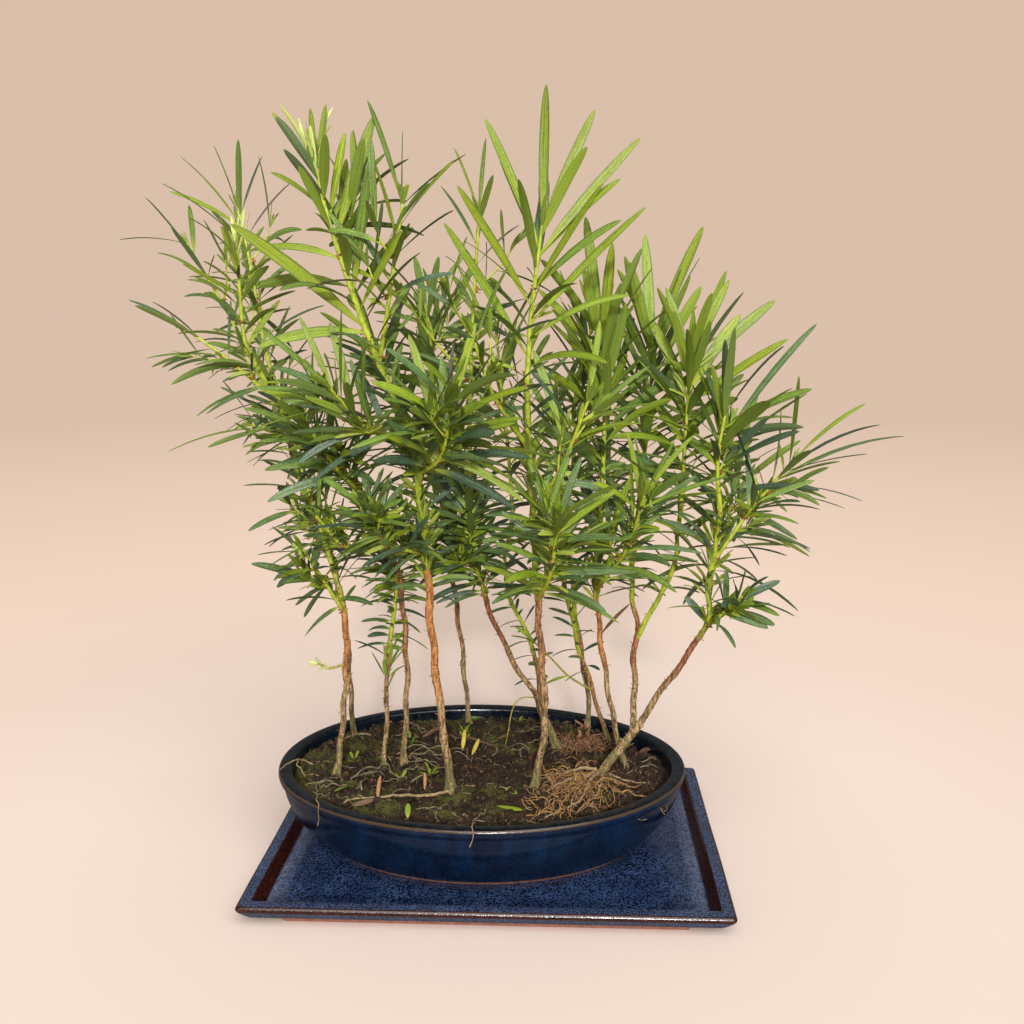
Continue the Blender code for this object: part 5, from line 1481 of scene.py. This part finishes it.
def litter():
    """Fallen leaves as blades that lie along the ground, some with their tips standing up."""
    chance = seeded(74)
    *numbers, tints = zip(*LITTER)
    count, heading = len(tints), np.radians(numbers[2])
    x, y, long, wide, stand = (np.array(numbers[k], float) * MM for k in (0, 1, 3, 4, 5))
    level = xyz(np.cos(heading) * long, np.sin(heading) * long)
    root = xyz(x, y, ground(x, y) + 0.5 * MM)
    tip_high = ground(x + level[:, 0], y + level[:, 1]) + stand
    aim = np.concatenate([level, (tip_high - root[:, 2])[:, None]], -1)
    length = np.linalg.norm(aim, axis=1)
    upper = unit(xyz(chance.normal(0, 0.3, count), chance.normal(0, 0.3, count) - 0.3, 1.0))
    leaves = leaves_from(
        count, root=root, aim=aim / length[:, None], upper=upper, length=length, width=wide,
        droop=chance.uniform(-0.05, 0.1, count), curl=chance.uniform(0.0, 0.12, count),
        sway=chance.uniform(-0.15, 0.15, count), twist=chance.uniform(-0.6, 0.6, count),
        fold=chance.uniform(0.1, 0.5, count), tone=chance.uniform(0.75, 1.0, count),
    )
    return leaves, np.array(tints)


def weeds():
    """Weeds: rosettes of short broad leaflets on leaning stalks from one foot."""
    chance = seeded(75)
    sets = []
    for spot, count, tall in WEEDS:
        x, y = np.array(spot) * MM
        turn = np.arange(count) * GOLDEN_ANGLE
        lean = chance.uniform(0.3, 0.95, count)
        out = xyz(np.cos(turn), np.sin(turn), 0)
        foot = xyz(x, y, ground(x, y)) + out * 1.2 * MM + UP * (tall * MM * (1 - lean) * 0.8)[:, None]
        aim = unit(out * lean[:, None] + UP * 0.55)
        long = chance.uniform(3.5, 6.5, count) * MM
        sets.append(leaves_from(
            count, root=foot, aim=aim, upper=unit(UP - aim * aim[:, 2:]), length=long, width=long * 0.42,
            droop=0.1, fold=0.2, tone=chance.uniform(0.8, 1.0, count)))
    return together(sets)


def loose_twigs(limbs):
    """Small bare twigs: one stub low on stem_01, a side twig on stem_10, a thin one that hangs free
    of stem_07, and the stalk of a dry leaf on stem_11."""
    ways = [
        ("stem_01", 0.62, [(-106, 3, 120), (-110, 2, 122), (-113, 1, 124)], 1.9, 1.3),
        ("stem_10", 0.30, [(48, 57, 98), (36, 53, 112), (23, 50, 126)], 1.8, 1.0),
        ("stem_07", 0.95, [(16, 45, 86), (10, 45, 78), (7, 45, 62), (5, 45, 52)], 1.1, 0.6),
        ("stem_11", 0.60, [(71, 10, 145), (73, 9, 147)], 1.1, 0.7),
    ]
    return [thread([limbs[stem].at(at)[0] / MM, *way], thick, thin) for stem, at, way, thick, thin in ways]


def plant():
    """Bark, shoots, scales and leaves, each kind in pieces of its own."""
    limbs = limbs_with_bark(seeded(31))
    shoots, scales, leaves, tints = foliage(limbs)
    scales += [stubs(limb, seeded(600 + k)) for k, limb in enumerate(limbs.values())]
    twigs = loose_twigs(limbs)
    shoots += [shoot_surface(limb, 0.7) for limb in twigs[:3]]
    masses = list(MASSES)
    piece("green_shoots", joined(shoots), shoot_finish(), masses)
    look = plain_finish("bud_scale", (0.20, 0.055, 0.020), (0.42, 0.19, 0.055), 500.0, 0.6)
    piece("bud_scales", blades(together(scales)), look, crease=60)
    chance = seeded(77)
    pale = sprayed(twigs[0], np.linspace(0.5, 0.99, 9), np.arange(9) * GOLDEN_ANGLE, (5, 8), (80, 40), chance)
    pale["width"] = pale["length"] * 0.34
    few = sprayed(twigs[1], np.array([0.35, 0.75, 0.9, 0.98]), np.arange(4) * 2.4, (20, 22), (60, 30), chance)
    dead = sprayed(twigs[3], np.array([0.2]), np.array([0.0]), (34, 34), (14, 14), chance)
    sets = [(leaves, tints), (pale, "pale"), (few, "fresh"), (dead, "dry"), litter(), (weeds(), "bright")]
    leaves = together([own for own, _ in sets])
    tints = np.concatenate([np.broadcast_to(tint, own["length"].shape) for own, tint in sets])
    for name, (*look, slot) in LEAF_TINTS.items():
        own = {field: values[tints == name] for field, values in leaves.items()}
        piece("leaves_" + name, blades(own), leaf_finish(name, *look), masses, crease=60)


# ---------------------------------------------------------------- studio

# How far from the middle, and the floor's colour there: pale near the tray, beige far off, with a
# brighter ring at 0.3 m that is painted light against the plant's shadow.
FLOOR_TONES_AND_PAINTED_LIGHT = [(0.0, (0.662, 0.548, 0.501)), (0.3, (0.706, 0.583, 0.515)), (0.5, (0.656, 0.530, 0.456)),
         (0.8, (0.650, 0.507, 0.418)), (1.25, (0.606, 0.468, 0.384)), (2.0, (0.550, 0.422, 0.338)),
         (2.9, (0.510, 0.390, 0.313))]
PAPER_REACH = 2.9
FLOOR_RADIUS, FLOOR_RINGS, FLOOR_SIDES = 60.0, 60, 96
AMBIENT, MIRRORED, BACKDROP = (0.49, 0.474, 0.456), (0.16, 0.155, 0.15), (0.70, 0.52, 0.40)
# Lamps: place, what it shines at, colour, strength, and its width as an angle in degrees.
LAMPS = {
    "sun": ((0.35, -1.15, 1.2), (0.0, 0.0, 0.0), (1.0, 0.975, 0.94), 2.7, 62),
    "flash": ((0.15, -2.0, 1.0), (0.0, 0.0, 0.25), (1.0, 0.985, 0.96), 2.6, 4.3),
}
CAMERA_PLACE, CAMERA_LENS, SENSOR_WIDTH, NEAREST = (0.04206, -0.6573, 0.3488), 38.08, 36.0, 0.01
CAMERA_YAW, CAMERA_DOWN, CAMERA_ROLL = 2.616, 10.757, -0.165  # degrees


def studio():
    """A wide pale floor that deepens to beige far off, its tones carrying painted light against the plant's
    shadow and drawn darker in reflections, the same beige all round, and two lamps.
    """
    share = np.linspace(0, 1, FLOOR_RINGS + 1)[1:, None] ** 3
    angle = turns_of(FLOOR_SIDES)
    grid = xyz(FLOOR_RADIUS * share * np.cos(angle), FLOOR_RADIUS * share * np.sin(angle), 0)
    i = np.arange(FLOOR_SIDES)
    j = (i + 1) % FLOOR_SIDES
    start = 1 + np.arange(FLOOR_RINGS - 1)[:, None] * FLOOR_SIDES
    near, on = start + i, start + j
    quads = np.stack([near, near + FLOOR_SIDES, on + FLOOR_SIDES, on], -1).reshape(-1, 4)
    mesh = bpy.data.meshes.new("floor")
    faces = quads.tolist() + xyz(0, 1 + i, 1 + j).tolist()
    mesh.from_pydata([(0, 0, 0), *grid.reshape(-1, 3).tolist()], [], faces)
    linked("floor", mesh)

    ink = Finish("studio_floor_painted_light", Specular_IOR_Level=0.0)
    far = ink.add("VectorMath", ink.here, operation="LENGTH").outputs["Value"]
    ramp = ink.add("ValToRGB", ink.math("DIVIDE", far, PAPER_REACH))
    stops = ramp.color_ramp.elements
    for _ in FLOOR_TONES_AND_PAINTED_LIGHT[2:]:
        stops.new(0.5)
    for stop, (reach, tone) in zip(stops, FLOOR_TONES_AND_PAINTED_LIGHT):
        stop.position, stop.color = reach / PAPER_REACH, (*tone, 1.0)
    # painted reflection: seen in a glossy ray the floor is drawn far darker, so glazes and leaves mirror less
    # of it
    mirrored = ink.add("LightPath").outputs["Is Glossy Ray"]
    painted_floor = ink.over(ramp.outputs[0], mirrored, 0.72, (0.0, 0.0, 0.0))
    mesh.materials.append(ink.done(painted_floor, ink.span(ink.grain(60.0), 0.3, 0.7, 0.85, 0.95)))

    world = bpy.context.scene.world = bpy.data.worlds.new("studio")
    world.use_nodes = True
    ink = Ink(world.node_tree)
    rays = ink.add("LightPath").outputs
    tint = ink.mix(rays["Is Glossy Ray"], AMBIENT, MIRRORED)
    ink.fill(world.node_tree.nodes["Background"], {0: ink.mix(rays["Is Camera Ray"], tint, BACKDROP), 1: 1.0})
    for name, row in LAMPS.items():
        lamp(name, *row)
    bpy.context.scene.view_settings.view_transform = "Standard"


def lamp(name, place, aim, tone, energy, width):
    """A sun lamp at a place, turned to shine at an aim."""
    data = bpy.data.lights.new(name, "SUN")
    data.energy, data.color, data.angle = energy, tone, math.radians(width)
    away = np.array(place) - np.array(aim)
    yaw, pitch = math.atan2(away[0], -away[1]), math.atan2(away[2], math.hypot(away[0], away[1]))
    turn = Matrix.Rotation(yaw, 4, "Z") @ Matrix.Rotation(math.pi / 2 - pitch, 4, "X")
    linked(name, data).matrix_world = Matrix.Translation(place) @ turn


def camera():
    """A camera a little above the crown's middle, looking slightly down."""
    data = bpy.data.cameras.new("camera")
    data.lens, data.sensor_width, data.clip_start = CAMERA_LENS, SENSOR_WIDTH, NEAREST
    turn = Matrix.Rotation(math.radians(CAMERA_YAW), 4, "Z")
    tilt = Matrix.Rotation(math.radians(90 - CAMERA_DOWN), 4, "X")
    roll = Matrix.Rotation(math.radians(CAMERA_ROLL), 4, "Z")
    bpy.context.scene.camera = linked("camera", data)
    bpy.context.scene.camera.matrix_world = Matrix.Translation(CAMERA_PLACE) @ turn @ tilt @ roll


camera()
tray()
pot()
soil()
earth()
moss()
roots()
plant()
studio()
